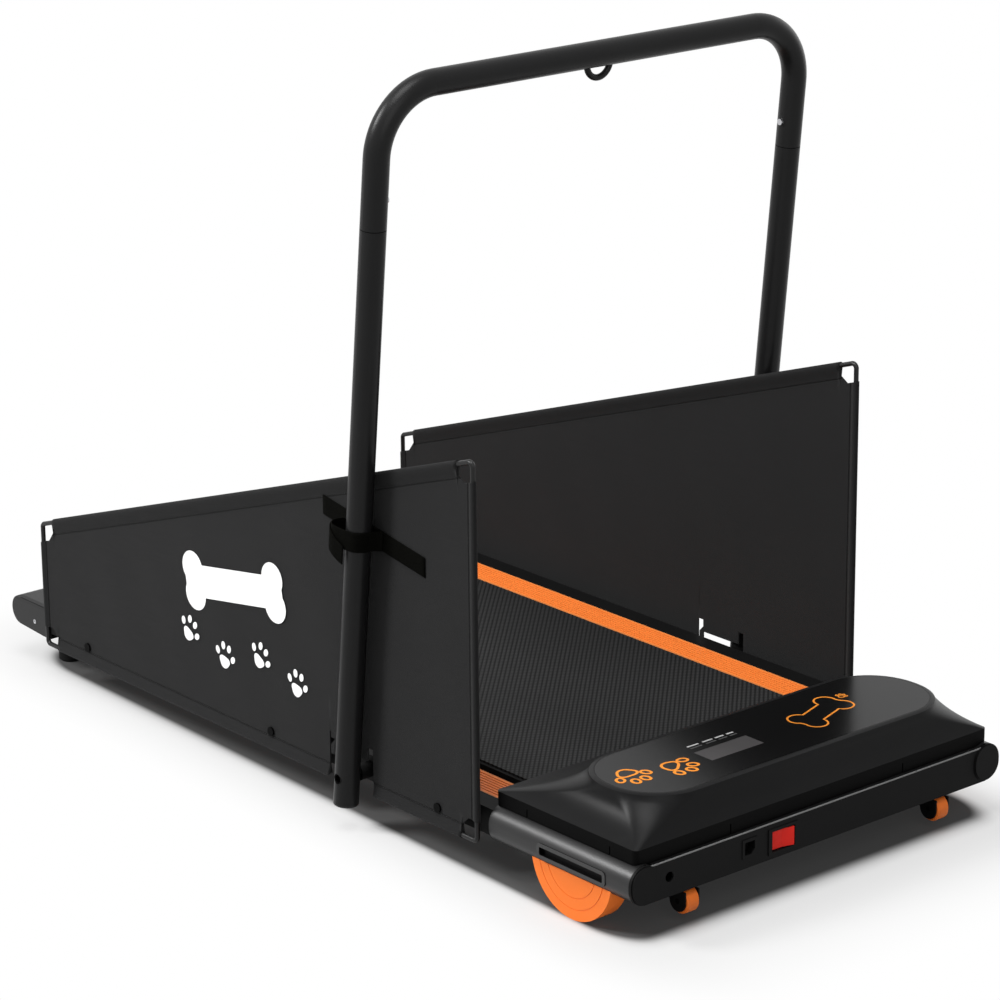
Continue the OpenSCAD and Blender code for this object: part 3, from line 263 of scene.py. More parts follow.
def paintMoulded(name, s, **change):
    # a painted highlight: a lighter rim lies where every limit in "edge" is passed, on either side of the
    # machine
    p, s = Paint(name), {**s, **change}
    grain, cloud = p.noise(*s["grain"]), p.noise(*s["cloud"])
    scuff = p.ramp(p.noise(*s["scuff"]), s["scuffStops"])
    color = p.blend(scuff * s["scuffShare"], p.tinted(cloud, s), scaled(s["color"], s["scuffTint"]))
    if "edge" in s:
        mask = s["edgeShare"]
        for axis, limit in s["edge"].items():
            mask = abs(p.axes(axis)[0]).above(limit) * mask
        color = p.blend(mask, color, s["rim"])
    rough = s["rough"] + cloud.swing(s["cloudRough"]) + scuff * s["scuffRough"]
    return p.finish(color=color, rough=rough, spec=s["spec"], normal=p.bump(grain, s["depth"]))


orangePlastic = {
    "color": (0.88, 0.22, 0.038), "shade": (0.82, 0.19, 0.03), "rough": 0.42, "spec": 0.2,
    "grain": (1100, 2), "grainRough": 0.16, "depth": 0.00005, "cloud": (14, 5), "streak": (1, 1, 1),
    "pale": (70, 5), "paleStops": ((0.64, 0), (0.86, 1)), "paleTint": 1.06, "paleShare": 0.15,
    "edgeHalf": 0.0011, "edgeColor": (0.95, 0.42, 0.16), "edgeShare": 0.55,
    "pitch": 0.00457, "grooveSharp": 4, "grooveTint": 0.55, "grooveShare": 0.8,
}


def paintOrange(name, s, **change):
    # between two "edges" that run along a piece, which are painted a little lighter as highlights, its
    # grooves are painted darker as shade
    p, s = Paint(name), {**s, **change}
    grain, cloud = p.noise(*s["grain"], s["streak"]), p.noise(*s["cloud"], s["streak"])
    pale = p.ramp(p.noise(*s["pale"]), s["paleStops"])
    color = p.blend(cloud, s["shade"], s["color"])
    color = p.blend(pale * s["paleShare"], color, scaled(s["color"], s["paleTint"]))
    if "edges" in s:
        across = abs(p.axes("X")[0])
        for at in s["edges"]:
            # painted highlights along the rail's edges
            line = abs(across - at).below(s["edgeHalf"])
            color = p.blend(line * s["edgeShare"], color, s["edgeColor"])
        turn = (across - sum(s["edges"]) / 2) * (math.pi / s["pitch"]) + math.pi / 2
        # painted shade in the grooves
        grooveShadeMask = abs(turn.sin()) ** s["grooveSharp"]
        color = p.blend(grooveShadeMask * s["grooveShare"], color, scaled(s["color"], s["grooveTint"]))
    return p.finish(color=color, rough=s["rough"] + grain.swing(s["grainRough"]), spec=s["spec"],
                    normal=p.bump(grain, s["depth"]))


runningBelt = {
    "color": (0.0035, 0.0035, 0.0036), "light": (0.021, 0.021, 0.0212), "rough": 0.62, "spec": 0.12,
    "pitch": 0.0049, "cross": 0.55, "sharp": 1.6, "depth": 0.0006, "weaveRough": 0.1,
    "treadFront": -0.42, "treadRear": 0.02, "treadTint": 2.2, "treadShare": 0.7,
    "worn": (4, 5, (3, 0.6, 1)), "wornStops": ((0.35, 0), (0.75, 1)),
    "wornTint": 0.5, "wornShare": 0.25, "wornRough": 0.2, "fuzz": (900, 2), "fuzzShare": 0.2,
}


def paintBelt(name, s):
    # a diamond weave with painted light that makes it lighter towards the front, and worn in long patches
    p = Paint(name)
    x, y = p.axes("XY")
    turn = math.pi / s["pitch"] / math.sqrt(2)
    first, second = (abs((way * turn).sin()) for way in (x - y, x + y))
    weave = first * (second * s["cross"] + (1 - s["cross"]))
    worn = p.noise(*s["worn"])
    # painted light: lighter towards the front
    paintedLightRamp = p.ease(y, s["treadRear"], s["treadFront"])
    light = p.blend(paintedLightRamp * s["treadShare"], s["light"], scaled(s["light"], s["treadTint"]))
    color = p.blend(weave ** s["sharp"], s["color"], light)
    patch = p.ramp(worn, s["wornStops"])
    color = p.blend(patch * s["wornShare"], color, scaled(s["light"], s["wornTint"]))
    rough = s["rough"] + worn.swing(s["wornRough"]) - weave * s["weaveRough"]
    return p.finish(color=color, rough=rough, spec=s["spec"],
                    normal=p.bump(weave + p.noise(*s["fuzz"]) * s["fuzzShare"], s["depth"]))


brightSteel = {
    "color": (0.55, 0.55, 0.57), "tints": (0.75, 1), "cloud": (30, 4), "metal": 1.0, "spec": 0.5,
    "rough": 0.3, "grain": (1200, 2, (0.05, 1, 1)), "grainRough": 0.2, "depth": 0.00004,
}
consoleFilm = {
    "color": (0.0032, 0.0032, 0.0033), "tints": (0.75, 1.2), "cloud": (4, 3), "metal": 0.0, "spec": 0.12,
    "rough": 0.2, "grain": (2200, 1), "grainRough": 0.08, "depth": 0.00001,
}
keyRed = {
    "color": (0.93, 0.028, 0.018), "tints": (0.8, 1), "cloud": (60, 3), "metal": 0.0, "spec": 0.12,
    "rough": 0.4, "grain": (900, 2), "grainRough": 0.12, "depth": 0.00004,
}
printInk = {
    "color": grey(0.94), "tints": (0.94, 1), "cloud": (1600, 2), "metal": 0.0, "spec": 0.3,
    "rough": 0.5, "grain": (1600, 2), "grainRough": 0.1, "depth": 0.00002,
}


def paintPlain(name, s, **change):
    # a clouded colour, and a fine grain in roughness and height
    p, s = Paint(name), {**s, **change}
    cloud, grain = p.noise(*s["cloud"]), p.noise(*s["grain"])
    return p.finish(color=p.tinted(cloud, s), rough=s["rough"] + grain.swing(s["grainRough"]),
                    metal=s["metal"], spec=s["spec"], normal=p.bump(grain, s["depth"]))


softRubber = {
    "color": grey(0.006), "rough": 0.78, "spec": 0.12, "grain": (800, 3), "grainRough": 0.15, "depth": 0.0001,
    "dust": (26, 5), "dustStops": ((0.5, 0), (0.85, 1)), "dustTint": 3, "dustShare": 0.3,
}


def paintRubber(name, s):
    p = Paint(name)
    grain = p.noise(*s["grain"])
    dust = p.ramp(p.noise(*s["dust"]), s["dustStops"])
    color = p.blend(dust * s["dustShare"], s["color"], scaled(s["color"], s["dustTint"]))
    return p.finish(color=color, rough=s["rough"] + grain.swing(s["grainRough"]), spec=s["spec"],
                    normal=p.bump(grain, s["depth"]))


displayPane = {
    "node": "display_window", "color": (0.062, 0.059, 0.06), "tints": (0.9, 1.15), "rough": 0.3, "spec": 0.1,
    "haze": (60, 3), "hazeShare": 0.5, "hazeRough": 0.08, "bands": 60, "bandShare": 0.1,
}


def paintDisplay(name, s):
    p = Paint(name)
    haze = p.noise(*s["haze"])
    bands = ((p.axes("X")[0] - middleOf(s["node"]).x) * s["bands"]).sin() ** 2
    color = p.tinted(haze * s["hazeShare"] + bands * s["bandShare"], s)
    return p.finish(color=color, rough=s["rough"] + haze * s["hazeRough"], spec=s["spec"])


boardGreen = {
    "color": (0.012, 0.09, 0.035), "trace": (0.03, 0.16, 0.06), "patch": (40, 2),
    "lines": {"X": (900, 0.8), "Y": (700, 0.85)}, "rough": 0.4, "lineRough": 0.1,
}


def paintBoard(name, s):
    p = Paint(name)
    traces = 0
    for axis, (often, thin) in s["lines"].items():
        traces = (p.axes(axis)[0] * often).sin().above(thin).atLeast(traces)
    color = p.blend(traces * p.noise(*s["patch"]), s["color"], s["trace"])
    return p.finish(color=color, rough=s["rough"] + traces * s["lineRough"])


# painted highlights: lighter edges, a set way inside the limits of the pieces in the frame
edgeInset = {"panel": 0.0012, "bezel": 0.0004, "rail": 0.0005}
panelLow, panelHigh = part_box("front_panel")
railLow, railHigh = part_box("right_rail")
panelHighlightEdge = {"Z": panelHigh.z - edgeInset["panel"], "Y": -panelLow.y - edgeInset["panel"]}
bezelHighlightEdge = {"X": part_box("recess_bezels")[1].x - edgeInset["bezel"]}
railHighlightEdges = (railLow.x + edgeInset["rail"], railHigh.x - edgeInset["rail"])

mats = {
    "powder": paintPowder("satinPowderCoat", powderCoat),
    "wire": paintPowder("guardWirePowder", powderCoat, color=grey(0.006), spec=0.25),
    "frame": paintPowder("framePowder", powderCoat, color=grey(0.003), rough=0.55, spec=0.08),
    "screw": paintPowder("blackenedScrew", powderCoat, color=grey(0.0008), rough=0.5, spec=0.04),
    "shell": paintMoulded("mouldedShell", mouldedShell),
    "hood": paintMoulded("hoodShell", mouldedShell, color=(0.0072, 0.0072, 0.0074), rough=0.34, spec=0.08),
    "trim": paintMoulded("trimBand", mouldedShell, color=grey(0.0016), rough=0.55, spec=0.04),
    # painted highlights: the front panel's top edge and the bezels' outer rims are lighter
    "panel": paintMoulded("frontPanel", mouldedShell, color=(0.0042, 0.0042, 0.0043), rough=0.58, spec=0.08,
                          edge=panelHighlightEdge, rim=grey(0.26)),
    "socket": paintMoulded("blackSocket", mouldedShell, color=grey(0.0036), rough=0.55, spec=0.08),
    "tube": paintMoulded("tubeCover", mouldedShell, color=(0.0045, 0.0045, 0.0047), rough=0.36, spec=0.46),
    "bezel": paintMoulded("recessBezel", mouldedShell, color=grey(0.0016), spec=0.1,
                          edge=bezelHighlightEdge, rim=grey(0.06)),
    "rail": paintOrange("orangeRail", orangePlastic, color=(0.84, 0.22, 0.042), streak=(6, 0.25, 1),
                        edges=railHighlightEdges),
    "foot": paintOrange("orangeFoot", orangePlastic, color=(0.88, 0.195, 0.026), shade=(0.82, 0.175, 0.022)),
    "belt": paintBelt("beltWeave", runningBelt),
    "thread": paintPlain("sewingThread", printInk, color=grey(0.009)),
    "steel": paintPlain("brightSteel", brightSteel),
    "rubber": paintRubber("softRubber", softRubber),
    "film": paintPlain("consoleFilm", consoleFilm),
    "display": paintDisplay("displayPane", displayPane),
    "key": paintPlain("redKey", keyRed),
    "board": paintBoard("circuitBoard", boardGreen),
    "inkWhite": paintPlain("whiteInk", printInk),
    "inkOrange": paintPlain("orangeInk", printInk, color=(0.78, 0.25, 0.02)),
    "inkPale": paintPlain("paleInk", printInk, color=grey(0.6)),
    "inkDim": paintPlain("dimInk", printInk, color=grey(0.06)),
}

finishOf = {
    "powder": ["left_post", "right_post", "upper_handle", "leash_loop", "motor"],
    "frame": ["left_beam", "right_beam", "crossbars", "pivot_spacers", "wheel_brackets"],
    "wire": ["left_guard_wire", "right_guard_wire"],
    "screw": ["guard_screws", "pivot_bolts", "handle_sleeves", "wheel_axles"],
    "bezel": ["recess_bezels"],
    "shell": ["left_rear_cap", "right_rear_cap", "belly_pan", "post_plugs", "guard_spacers",
              "roller_pulley"],
    "tube": ["left_tube_cover", "right_tube_cover"],
    "trim": ["cover_trim"],
    "panel": ["front_panel"],
    "socket": ["tube_end_caps", "switch_housing", "port_socket"],
    "rail": ["left_rail", "right_rail"],
    "foot": ["left_rocker_foot", "right_rocker_foot", "left_wheel", "right_wheel"],
    "belt": ["running_belt"],
    "steel": ["front_roller", "rear_roller", "roller_bearings", "tension_bolts", "rear_cap_screws",
              "motor_bracket", "motor_shaft", "left_snap_button", "right_snap_button"],
    "rubber": ["deck_cushions", "rear_feet", "drive_belt", "deck_board"],
    "film": ["console_panel"],
    "display": ["display_window"],
    "key": ["rocker_key"],
    "board": ["controller_board"],
}

for finish, names in finishOf.items():
    for name in names:
        mesh = nodes[name].data
        mesh.materials.clear()
        mesh.materials.append(mats[finish])
print("materials:", len(mats))


def addPiece(name, mesh, material, body, smooth=True):
    obj = bpy.data.objects.new(name, mesh)
    bpy.context.scene.collection.objects.link(obj)
    if material is not None:
        mesh.materials.clear()
        mesh.materials.append(material)
    mesh.polygons.foreach_set("use_smooth", [smooth] * len(mesh.polygons))
    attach(obj, body)
    return obj


def meshOf(name, verts, faces, merge=0, uvs=()):
    # faces are turned outwards; with a merge distance, walls between touching plates are taken out
    mesh = bpy.data.meshes.new(name)
    mesh.from_pydata([tuple(v) for v in verts], [], faces)
    if uvs:
        layer = mesh.uv_layers.new(name="webbing")
        layer.data.foreach_set("uv", [c for uv in uvs for c in uv])
    bm = bmesh.new()
    bm.from_mesh(mesh)
    if merge:
        bmesh.ops.remove_doubles(bm, verts=bm.verts, dist=merge)
        inside = [f for f in bm.faces if all(len(e.link_faces) > 2 for e in f.edges)]
        bmesh.ops.delete(bm, geom=inside, context="FACES")
    bmesh.ops.recalc_face_normals(bm, faces=bm.faces)
    bm.to_mesh(mesh)
    bm.free()
    return mesh


def joinMeshes(name, meshes):
    bm = bmesh.new()
    for m in meshes:
        bm.from_mesh(m)
    mesh = bpy.data.meshes.new(name)
    bm.to_mesh(mesh)
    bm.free()
    return mesh


def slabFaces(columns, rows):
    # two grids of points, one behind the other, with the rim between them
    n, faces = columns * rows, []
    for i in range(columns - 1):
        for a in range(i * rows, (i + 1) * rows - 1):
            b = a + rows
            faces += [(a, b, b + 1, a + 1), (n + a + 1, n + b + 1, n + b, n + a)]
        a, b = i * rows, (i + 1) * rows
        faces.append((a, n + a, n + b, b))
        a, b = a + rows - 1, b + rows - 1
        faces.append((b, n + b, n + a, a))
    for a in range(rows - 1):
        faces.append((a + 1, n + a + 1, n + a, a))
        b = n - rows + a
        faces.append((b, n + b, n + b + 1, b + 1))
    return faces


def plateMesh(name, outlines, lift, thick, place, merge=0.004 * mm):
    # flat plates from their outlines; place puts a point at a height over a surface
    verts, faces = [], []
    for outline in outlines:
        base, k = len(verts), len(outline)
        for height in (lift, lift + thick):
            verts += [place(x, y, height) for x, y in outline]
        faces.append(tuple(base + k + i for i in range(k)))
        faces.append(tuple(base + i for i in reversed(range(k))))
        for i in range(k):
            j = (i + 1) % k
            faces.append((base + i, base + j, base + k + j, base + k + i))
    return meshOf(name, verts, faces, merge)


# the hood's faceted solid, merged and shaded softly up to an edge angle in radians
motorHood = {"node": "motor_cover", "merge": 0.01 * mm, "angle": 0.5}


def makeHood(s):
    bm = bmesh.new()
    bm.from_mesh(nodes[s["node"]].data)
    bmesh.ops.remove_doubles(bm, verts=bm.verts, dist=s["merge"])
    for edge in bm.edges:
        edge.smooth = edge.calc_face_angle(0) < s["angle"]
    mesh = bpy.data.meshes.new("motorHood")
    bm.to_mesh(mesh)
    bm.free()
    if "custom_normal" in mesh.attributes:
        mesh.attributes.remove(mesh.attributes["custom_normal"])
    hood = addPiece("motorHood", mesh, mats["hood"], "base")
    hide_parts(s["node"])


makeHood(motorHood)
print("hood made")


# side guards: cloth sleeves over the bent wires, with the covers' place and length in the frame, rounded to
# a tenth of a millimetre because the facets of a round hem fall a little short
coverLow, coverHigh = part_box("right_guard_cover")
guardFront, guardRear, guardLow = (round(v, 4) for v in (coverLow.y, coverHigh.y, coverLow.z))
guardShape = {
    "x": middleOf("right_guard_cover").x, "front": guardFront, "rear": guardRear, "bottom": guardLow,
    "frontTop": guardLow + 0.423, "rearTop": guardLow + 0.157,
    "wireIn": 0.00395, "hem": 0.0033, "thinnest": 0.0002, "web": 0.0016,
    "cutAlong": 0.02795, "cutUp": 0.02595, "cutShare": 0.615,
    "notchFront": hingeY - 0.0227, "notchRear": hingeY + 0.0533, "notchRound": 0.009,
    "notchTop": guardLow + 0.0395, "slit": 0.0085, "slitTop": guardLow + 0.0545,
    "tab": ((-1, 0), (-1, 6.5), (0, 6.5), (6.5, 0), (6.5, -10.5), (0, -10.5)), "tabThinner": 0.0001,
    "topSeam": 0.0185, "sideSeam": 0.011, "bottomSeam": 0.0165,
    "seamStep": 0.02, "seamLift": 0.0001, "seamClear": 0.004, "seamShort": 0.006,
    "ripple": 0.0005, "calm": 0.05, "waves": ((23, 9, 0), (-4, 21, 1), (57, -30, 0)), "thirdWave": 0.5,
    "screwShares": (0.083, 0.443, 0.888), "pull": 0.0005, "pullArea": 0.00015,
    # where points lie: near an edge, in a round, beside a step, and evenly between
    "near": (0, 0.0006, 0.0015, 0.0028, 0.0042, 0.0056, 0.0069, 0.0078, 0.0088, 0.0105, 0.0135, 0.018),
    "roundShares": (0.02, 0.08, 0.18, 0.32, 0.5, 0.75, 1), "beside": 0.0001, "closest": 0.00015,
    "notchLap": 0.001, "columns": 150, "rows": 30,
}

guardCloth = {
    "color": (0.009, 0.009, 0.0092), "tints": (0.84, 1.14), "cloud": (5, 5),
    "rough": 0.76, "spec": 0.1, "sheen": 0.04, "sheenRough": 0.5,
    "thread": 0.0011, "threadTint": 1.4, "threadShare": 0.4, "depth": 0.00016,
    "slub": (130, 3, (1, 0.2, 2.2)), "slubShare": 0.5, "slubRough": 0.2,
    "hemTint": 0.3, "hemShare": 0.35, "seam": 0.0014, "seamTint": 0.05, "seamDepth": 0.0008,
}


def paintCloth(name, s, guard):
    # a fine plain weave, with painted shade that darkens its top hem and its seams; the seams lie a set
    # distance inside the sloping top, the bottom and the ends
    p = Paint(name)
    y, z = p.axes("YZ")
    warp, weft = ((v * (2 * math.pi / s["thread"])).sin() for v in (y, z))
    weave = (warp * weft).raised()
    slub, cloud = p.noise(*s["slub"]), p.noise(*s["cloud"])
    fall = (guard["frontTop"] - guard["rearTop"]) / (guard["rear"] - guard["front"])
    top = ((guard["rear"] - y) * fall + guard["rearTop"] - z) * math.cos(math.atan(fall))
    inside = ((top, guard["topSeam"]), (z - guard["bottom"], guard["bottomSeam"]),
              (y - guard["front"], guard["sideSeam"]), (guard["rear"] - y, guard["sideSeam"]))
    seam = 0
    for far, at in inside:
        line = (2 - abs(far - at) * (2 / s["seam"])).atMost(1)
        seam = line.atLeast(seam)
    color = p.tinted(cloud, s)
    color = p.blend(weave * s["threadShare"] + slub.swing(s["slubShare"]), color,
                    scaled(s["color"], s["threadTint"]))
    # painted shade: the top hem is darker
    hem = top.below(guard["topSeam"])
    color = p.blend(hem * s["hemShare"], color, scaled(s["color"], s["hemTint"]))
    # painted shade in the seams' creases, over a real dent from the bump
    color = p.blend(seam, color, scaled(s["color"], s["seamTint"]))
    threads = p.bump(weave + slub * s["slubShare"], s["depth"])
    return p.finish(color=color, rough=s["rough"] + slub.swing(s["slubRough"]), spec=s["spec"],
                    sheen=s["sheen"], sheenRough=s["sheenRough"],
                    normal=p.bump(seam * -1, s["seamDepth"], threads))


mats["cloth"] = paintCloth("guardCloth", guardCloth, guardShape)


def guardTop(s, y):
    return s["rearTop"] + (s["frontTop"] - s["rearTop"]) * (s["rear"] - y) / (s["rear"] - s["front"])


def guardEdges(s, y):
    # lower and upper edge of the cloth at a place along the guard
    low, high = s["bottom"], guardTop(s, y)
    for edge, way in ((s["front"], 1), (s["rear"], -1)):
        d = (y - edge) * way
        if d < s["cutAlong"]:
            cut = s["cutUp"] * (1 - max(0.0, d / s["cutAlong"] - s["cutShare"]))
            high, low = high - cut, low + cut
    r = s["notchRound"]
    for edge, way in ((s["notchFront"], -1), (s["notchRear"], 1)):
        d = (y - edge) * way
        if 0 < d < r:
            low = max(low, s["bottom"] + r - math.sqrt(r * r - (r - d) ** 2))
    if s["notchFront"] <= y <= s["notchRear"]:
        inSlit = y <= s["notchFront"] + s["slit"] or y >= s["notchRear"] - s["slit"]
        low = s["slitTop"] if inSlit else s["notchTop"]
    return low, high


def guardColumns(s):
    # places along the guard, closer together at its ends and round the notch
    a, step = s["cutAlong"], s["beside"]
    cuts = []
    for edge, way in ((s["front"], 1), (s["rear"], -1)):
        cuts += [edge + way * d for d in (*s["near"], s["cutShare"] * a, a - step, a + step)]
    for edge, way in ((s["notchFront"], -1), (s["notchRear"], 1)):
        cuts += [edge + way * s["notchRound"] * share for share in s["roundShares"]]
        for y in (edge, edge - way * s["slit"]):
            cuts += [y - step, y + step]
    span, n = s["rear"] - s["front"], s["columns"]
    cuts = sorted(cuts + [s["front"] + span * i / n for i in range(1, n)])
    columns = cuts[:1]
    for y in cuts[1:]:
        if y - columns[-1] > s["closest"]:
            columns.append(y)
    return columns


def guardInside(s, y, z):
    # how far a point lies inside the wire's top, front, rear and bottom runs
    slope = math.atan2(s["frontTop"] - s["rearTop"], s["rear"] - s["front"])
    top = (guardTop(s, y) - z) * math.cos(slope)
    return [d - s["wireIn"] for d in (top, y - s["front"], s["rear"] - y, z - s["bottom"])]


def sleeveHalf(s, d, seam):
    # half thickness of a sleeve: round outside its wire, tapered to the web at its seam
    if d < 0:
        return max(s["thinnest"], s["hem"] * math.sqrt(max(0.0, 1 - (d / s["wireIn"]) ** 2)))
    web = s["web"] / 2
    t = min(1.0, d / (seam - s["wireIn"]))
    return web + (s["hem"] - web) * (1 - t * t * (3 - 2 * t))


def guardHalf(s, y, inside):
    # half the cloth's thickness at a point
    runs = list(zip(inside, (s["topSeam"], s["sideSeam"], s["sideSeam"], s["bottomSeam"])))
    if s["notchFront"] - s["notchLap"] < y < s["notchRear"] + s["notchLap"]:
        runs.pop()  # there is no wire along the notch
    outer = [sleeveHalf(s, d, seam) for d, seam in runs if d < 0]
    return min(outer) if outer else max(sleeveHalf(s, d, seam) for d, seam in runs)


def guardMiddle(s, y, z, inside):
    # away from its edges the cloth ripples, by waves along and up it, and its screws pull it in
    calm = min(1.0, max(0.0, min(inside) / s["calm"]))
    first, second, third = (math.sin(y * along + z * up + turn) for along, up, turn in s["waves"])
    wave = first * second + s["thirdWave"] * third
    pull = 0
    for share in s["screwShares"]:
        screwY = s["front"] + share * (s["rear"] - s["front"])
        pull += s["pull"] * math.exp(-((y - screwY) ** 2 + (z - hingeZ) ** 2) / s["pullArea"])
    return s["x"] + s["ripple"] * calm * wave - pull


def guardMesh(s, side):
    columns = guardColumns(s)
    near = np.array(s["near"])
    between = np.linspace(0, 1, s["rows"])[1:-1]
    front, back = [], []
    for y in columns:
        low, high = guardEdges(s, y)
        lo, hi = low + near, high - near[::-1]
        for z in np.concatenate([lo, lo[-1] + (hi[0] - lo[-1]) * between, hi]):
            inside = guardInside(s, y, z)
            middle, half = guardMiddle(s, y, z, inside), guardHalf(s, y, inside)
            front.append((side * (middle + half), y, z))
            back.append((side * (middle - half), y, z))
    faces = slabFaces(len(columns), len(near) * 2 + len(between))
    return meshOf("guardCloth", front + back, faces)


def guardArea(s, samples=4000):
    ys = np.linspace(s["front"], s["rear"], samples)
    heights = [high - low for low, high in (guardEdges(s, y) for y in ys)]
    return float(np.mean(heights) * (s["rear"] - s["front"]))


# a run of stitches along polylines, by Geometry Nodes
stitchRun = {"Pitch": 0.0042, "Half Length": 0.0013, "Half Thickness": 0.00032}


def stitchTree():
    tree = bpy.data.node_groups.new("stitchRun", "GeometryNodeTree")
    face = tree.interface
    face.new_socket("Lines", in_out="INPUT", socket_type="NodeSocketGeometry")
    for label in stitchRun:
        face.new_socket(label, in_out="INPUT", socket_type="NodeSocketFloat")
    face.new_socket("Thread", in_out="INPUT", socket_type="NodeSocketMaterial")
    face.new_socket("Stitches", in_out="OUTPUT", socket_type="NodeSocketGeometry")
    start, end = (tree.nodes.new("NodeGroup" + kind) for kind in ("Input", "Output"))
    kinds = ("MeshToCurve", "CurveToPoints", "MeshIcoSphere", "InstanceOnPoints", "RealizeInstances",
             "SetMaterial")
    curve, points, bead, put, real, dye = (tree.nodes.new("GeometryNode" + kind) for kind in kinds)
    size = tree.nodes.new("ShaderNodeCombineXYZ")
    points.mode = "LENGTH"
    bead.inputs["Subdivisions"].default_value = 1
    bead.inputs["Radius"].default_value = 1.0
    links = [
        (start, "Lines", curve, "Mesh"), (curve, "Curve", points, "Curve"),
        (start, "Pitch", points, "Length"), (points, "Points", put, "Points"),
        (points, "Rotation", put, "Rotation"), (bead, "Mesh", put, "Instance"),
        (start, "Half Thickness", size, "X"), (start, "Half Thickness", size, "Y"),
        (start, "Half Length", size, "Z"), (size, "Vector", put, "Scale"),
        (put, "Instances", real, "Geometry"), (real, "Geometry", dye, "Geometry"),
        (start, "Thread", dye, "Material"), (dye, "Geometry", end, "Stitches"),
    ]
    for source, output, target, entry in links:
        tree.links.new(source.outputs[output], target.inputs[entry])
    return tree


stitchNodes = stitchTree()


def sewLines(name, lines, s, material, body):
    verts, edges = [], []
    for line in lines:
        edges += [(len(verts) + i, len(verts) + i + 1) for i in range(len(line) - 1)]
        verts += [tuple(p) for p in line]
    mesh = bpy.data.meshes.new(name + "Lines")
    mesh.from_pydata(verts, edges, [])
    guide = bpy.data.objects.new(name + "Lines", mesh)
    bpy.context.scene.collection.objects.link(guide)
    mod = guide.modifiers.new("stitches", "NODES")
    mod.node_group = stitchNodes
    values = {**s, "Thread": material}
    for item in stitchNodes.interface.items_tree:
        if item.in_out == "INPUT" and item.name in values:
            mod[item.identifier] = values[item.name]
    made = bpy.data.meshes.new_from_object(guide.evaluated_get(bpy.context.evaluated_depsgraph_get()))
    bpy.data.objects.remove(guide)
    return addPiece(name, made, None, body)


def seamLine(s, side, start, end):
    # a seam on both faces of the web
    start, end = Vector(start), Vector(end)
    n = max(2, int((end - start).length / s["seamStep"]))
    lines = []
    for face in (1, -1):
        x = side * (s["x"] + face * (s["web"] / 2 + s["seamLift"]))
        lines.append([(x, *start.lerp(end, i / n)) for i in range(n + 1)])
    return lines


def tabMesh(s, side):
    # the small cloth tongue that hangs into the notch, in two plates: its lap and its hanging part
    web = s["web"] - s["tabThinner"]
    cornerY, cornerZ = s["notchRear"] - s["slit"], s["notchTop"]
    lap = [*s["tab"][:3], (0, 0)]
    hang = [(0, 0), *s["tab"][2:]]

    def atNotch(y, z, height):
        return (side * (s["x"] - web / 2 + height), cornerY + y * mm, cornerZ + z * mm)

    return plateMesh("notchTab", [lap, hang], 0, web, atNotch)


def makeGuard(s, side, label):
    cloth = addPiece(label + "GuardCloth", guardMesh(s, side), mats["cloth"], "base")
    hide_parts(label + "_guard_cover")
    tab = addPiece(label + "GuardTab", tabMesh(s, side), mats["cloth"], "base", smooth=False)
    f, r, a, edge = s["front"], s["rear"], s["cutAlong"], s["sideSeam"]
    low = s["bottom"] + s["bottomSeam"]
    lines = seamLine(s, side, *((y, guardTop(s, y) - s["topSeam"]) for y in (f + a, r - a)))
    for start, end in ((f + a, s["notchFront"] - s["seamClear"]), (s["notchRear"] + s["seamClear"], r - a)):
        lines += seamLine(s, side, (start, low), (end, low))
    for y in (r - edge, f + edge):
        lines += seamLine(s, side, (y, s["bottom"] + a), (y, guardTop(s, y) - a - s["seamShort"]))
    stitches = sewLines(label + "GuardStitches", lines, stitchRun, mats["thread"], "base")
    r - f
    s["frontTop"] - s["bottom"]
    guardArea(s)


for side, label in sides:
    makeGuard(guardShape, side, label)
print("guards: area", round(guardArea(guardShape), 4))


# straps: a sewn strip on each guard and a band round each post, drawn in millimetres round the post's axis
strapShape = {
    "width": 0.022, "thick": 0.0013, "up": 0.2786, "lean": 6.0, "postX": middleOf("right_post").x,
    "edgeShares": ((-0.5, 0.15), (-0.47, 0.4), (-0.42, 0.5)),
    "band": ((-15.2, -21), (-11, -18.6), (-3, -15.9), (6, -14), (13, -7.8), (15.6, 1), (16.6, 10), (17.2, 19),
             (15.4, 27), (9.4, 32), (1.5, 32.4), (-6.5, 29), (-12.8, 22.5), (-15.2, 13), (-15.2, 1),
             (-15.2, -10)),
    "bandSteps": 5,
    "tongue": ((8.6, 34.2), (14.2, 31.6), (18.2, 26.2), (19.6, 19), (19.2, 11), (18.6, 3)),
    "tongueTop": (10, 8.5, 5, 0.5, -3.5, -7), "tongueLow": (-11, -13.5, -17.5, -21.5, -25, -27.5),
    "tongueSteps": 4, "tongueRows": 7, "tongueWeave": 0.0012,
    "stripOut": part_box("strap_tails")[1].x, "stripFront": 0.089, "stripRear": 0.082, "stripFall": 0.164,
    "stripShare": 0.95, "stripSteps": 30,
}

webbing = {
    "color": (0.0012, 0.0012, 0.0008), "light": (0.0025, 0.0025, 0.002), "rough": 0.8, "spec": 0.02,
    "rib": 0.0016, "zigzag": 0.0045, "ribShare": 0.7, "ribRough": 0.1, "depth": 0.0003,
    "fuzz": (700, 3), "fuzzShare": 0.3, "fuzzHeight": 0.4,
}


def paintWebbing(name, s):
    # a herringbone that follows the strap
    p = Paint(name)
    u, v = p.axes("XY", uv=True)
    herring = ((u + v.wrap(s["zigzag"])) * (2 * math.pi / s["rib"])).sin().raised()
    fuzz = p.noise(*s["fuzz"], uv=True)
    color = p.blend(herring * s["ribShare"] + fuzz * s["fuzzShare"], s["color"], s["light"])
    return p.finish(color=color, rough=s["rough"] - herring * s["ribRough"], spec=s["spec"],
                    normal=p.bump(herring + fuzz * s["fuzzHeight"], s["depth"]))


mats["strap"] = paintWebbing("strapWebbing", webbing)


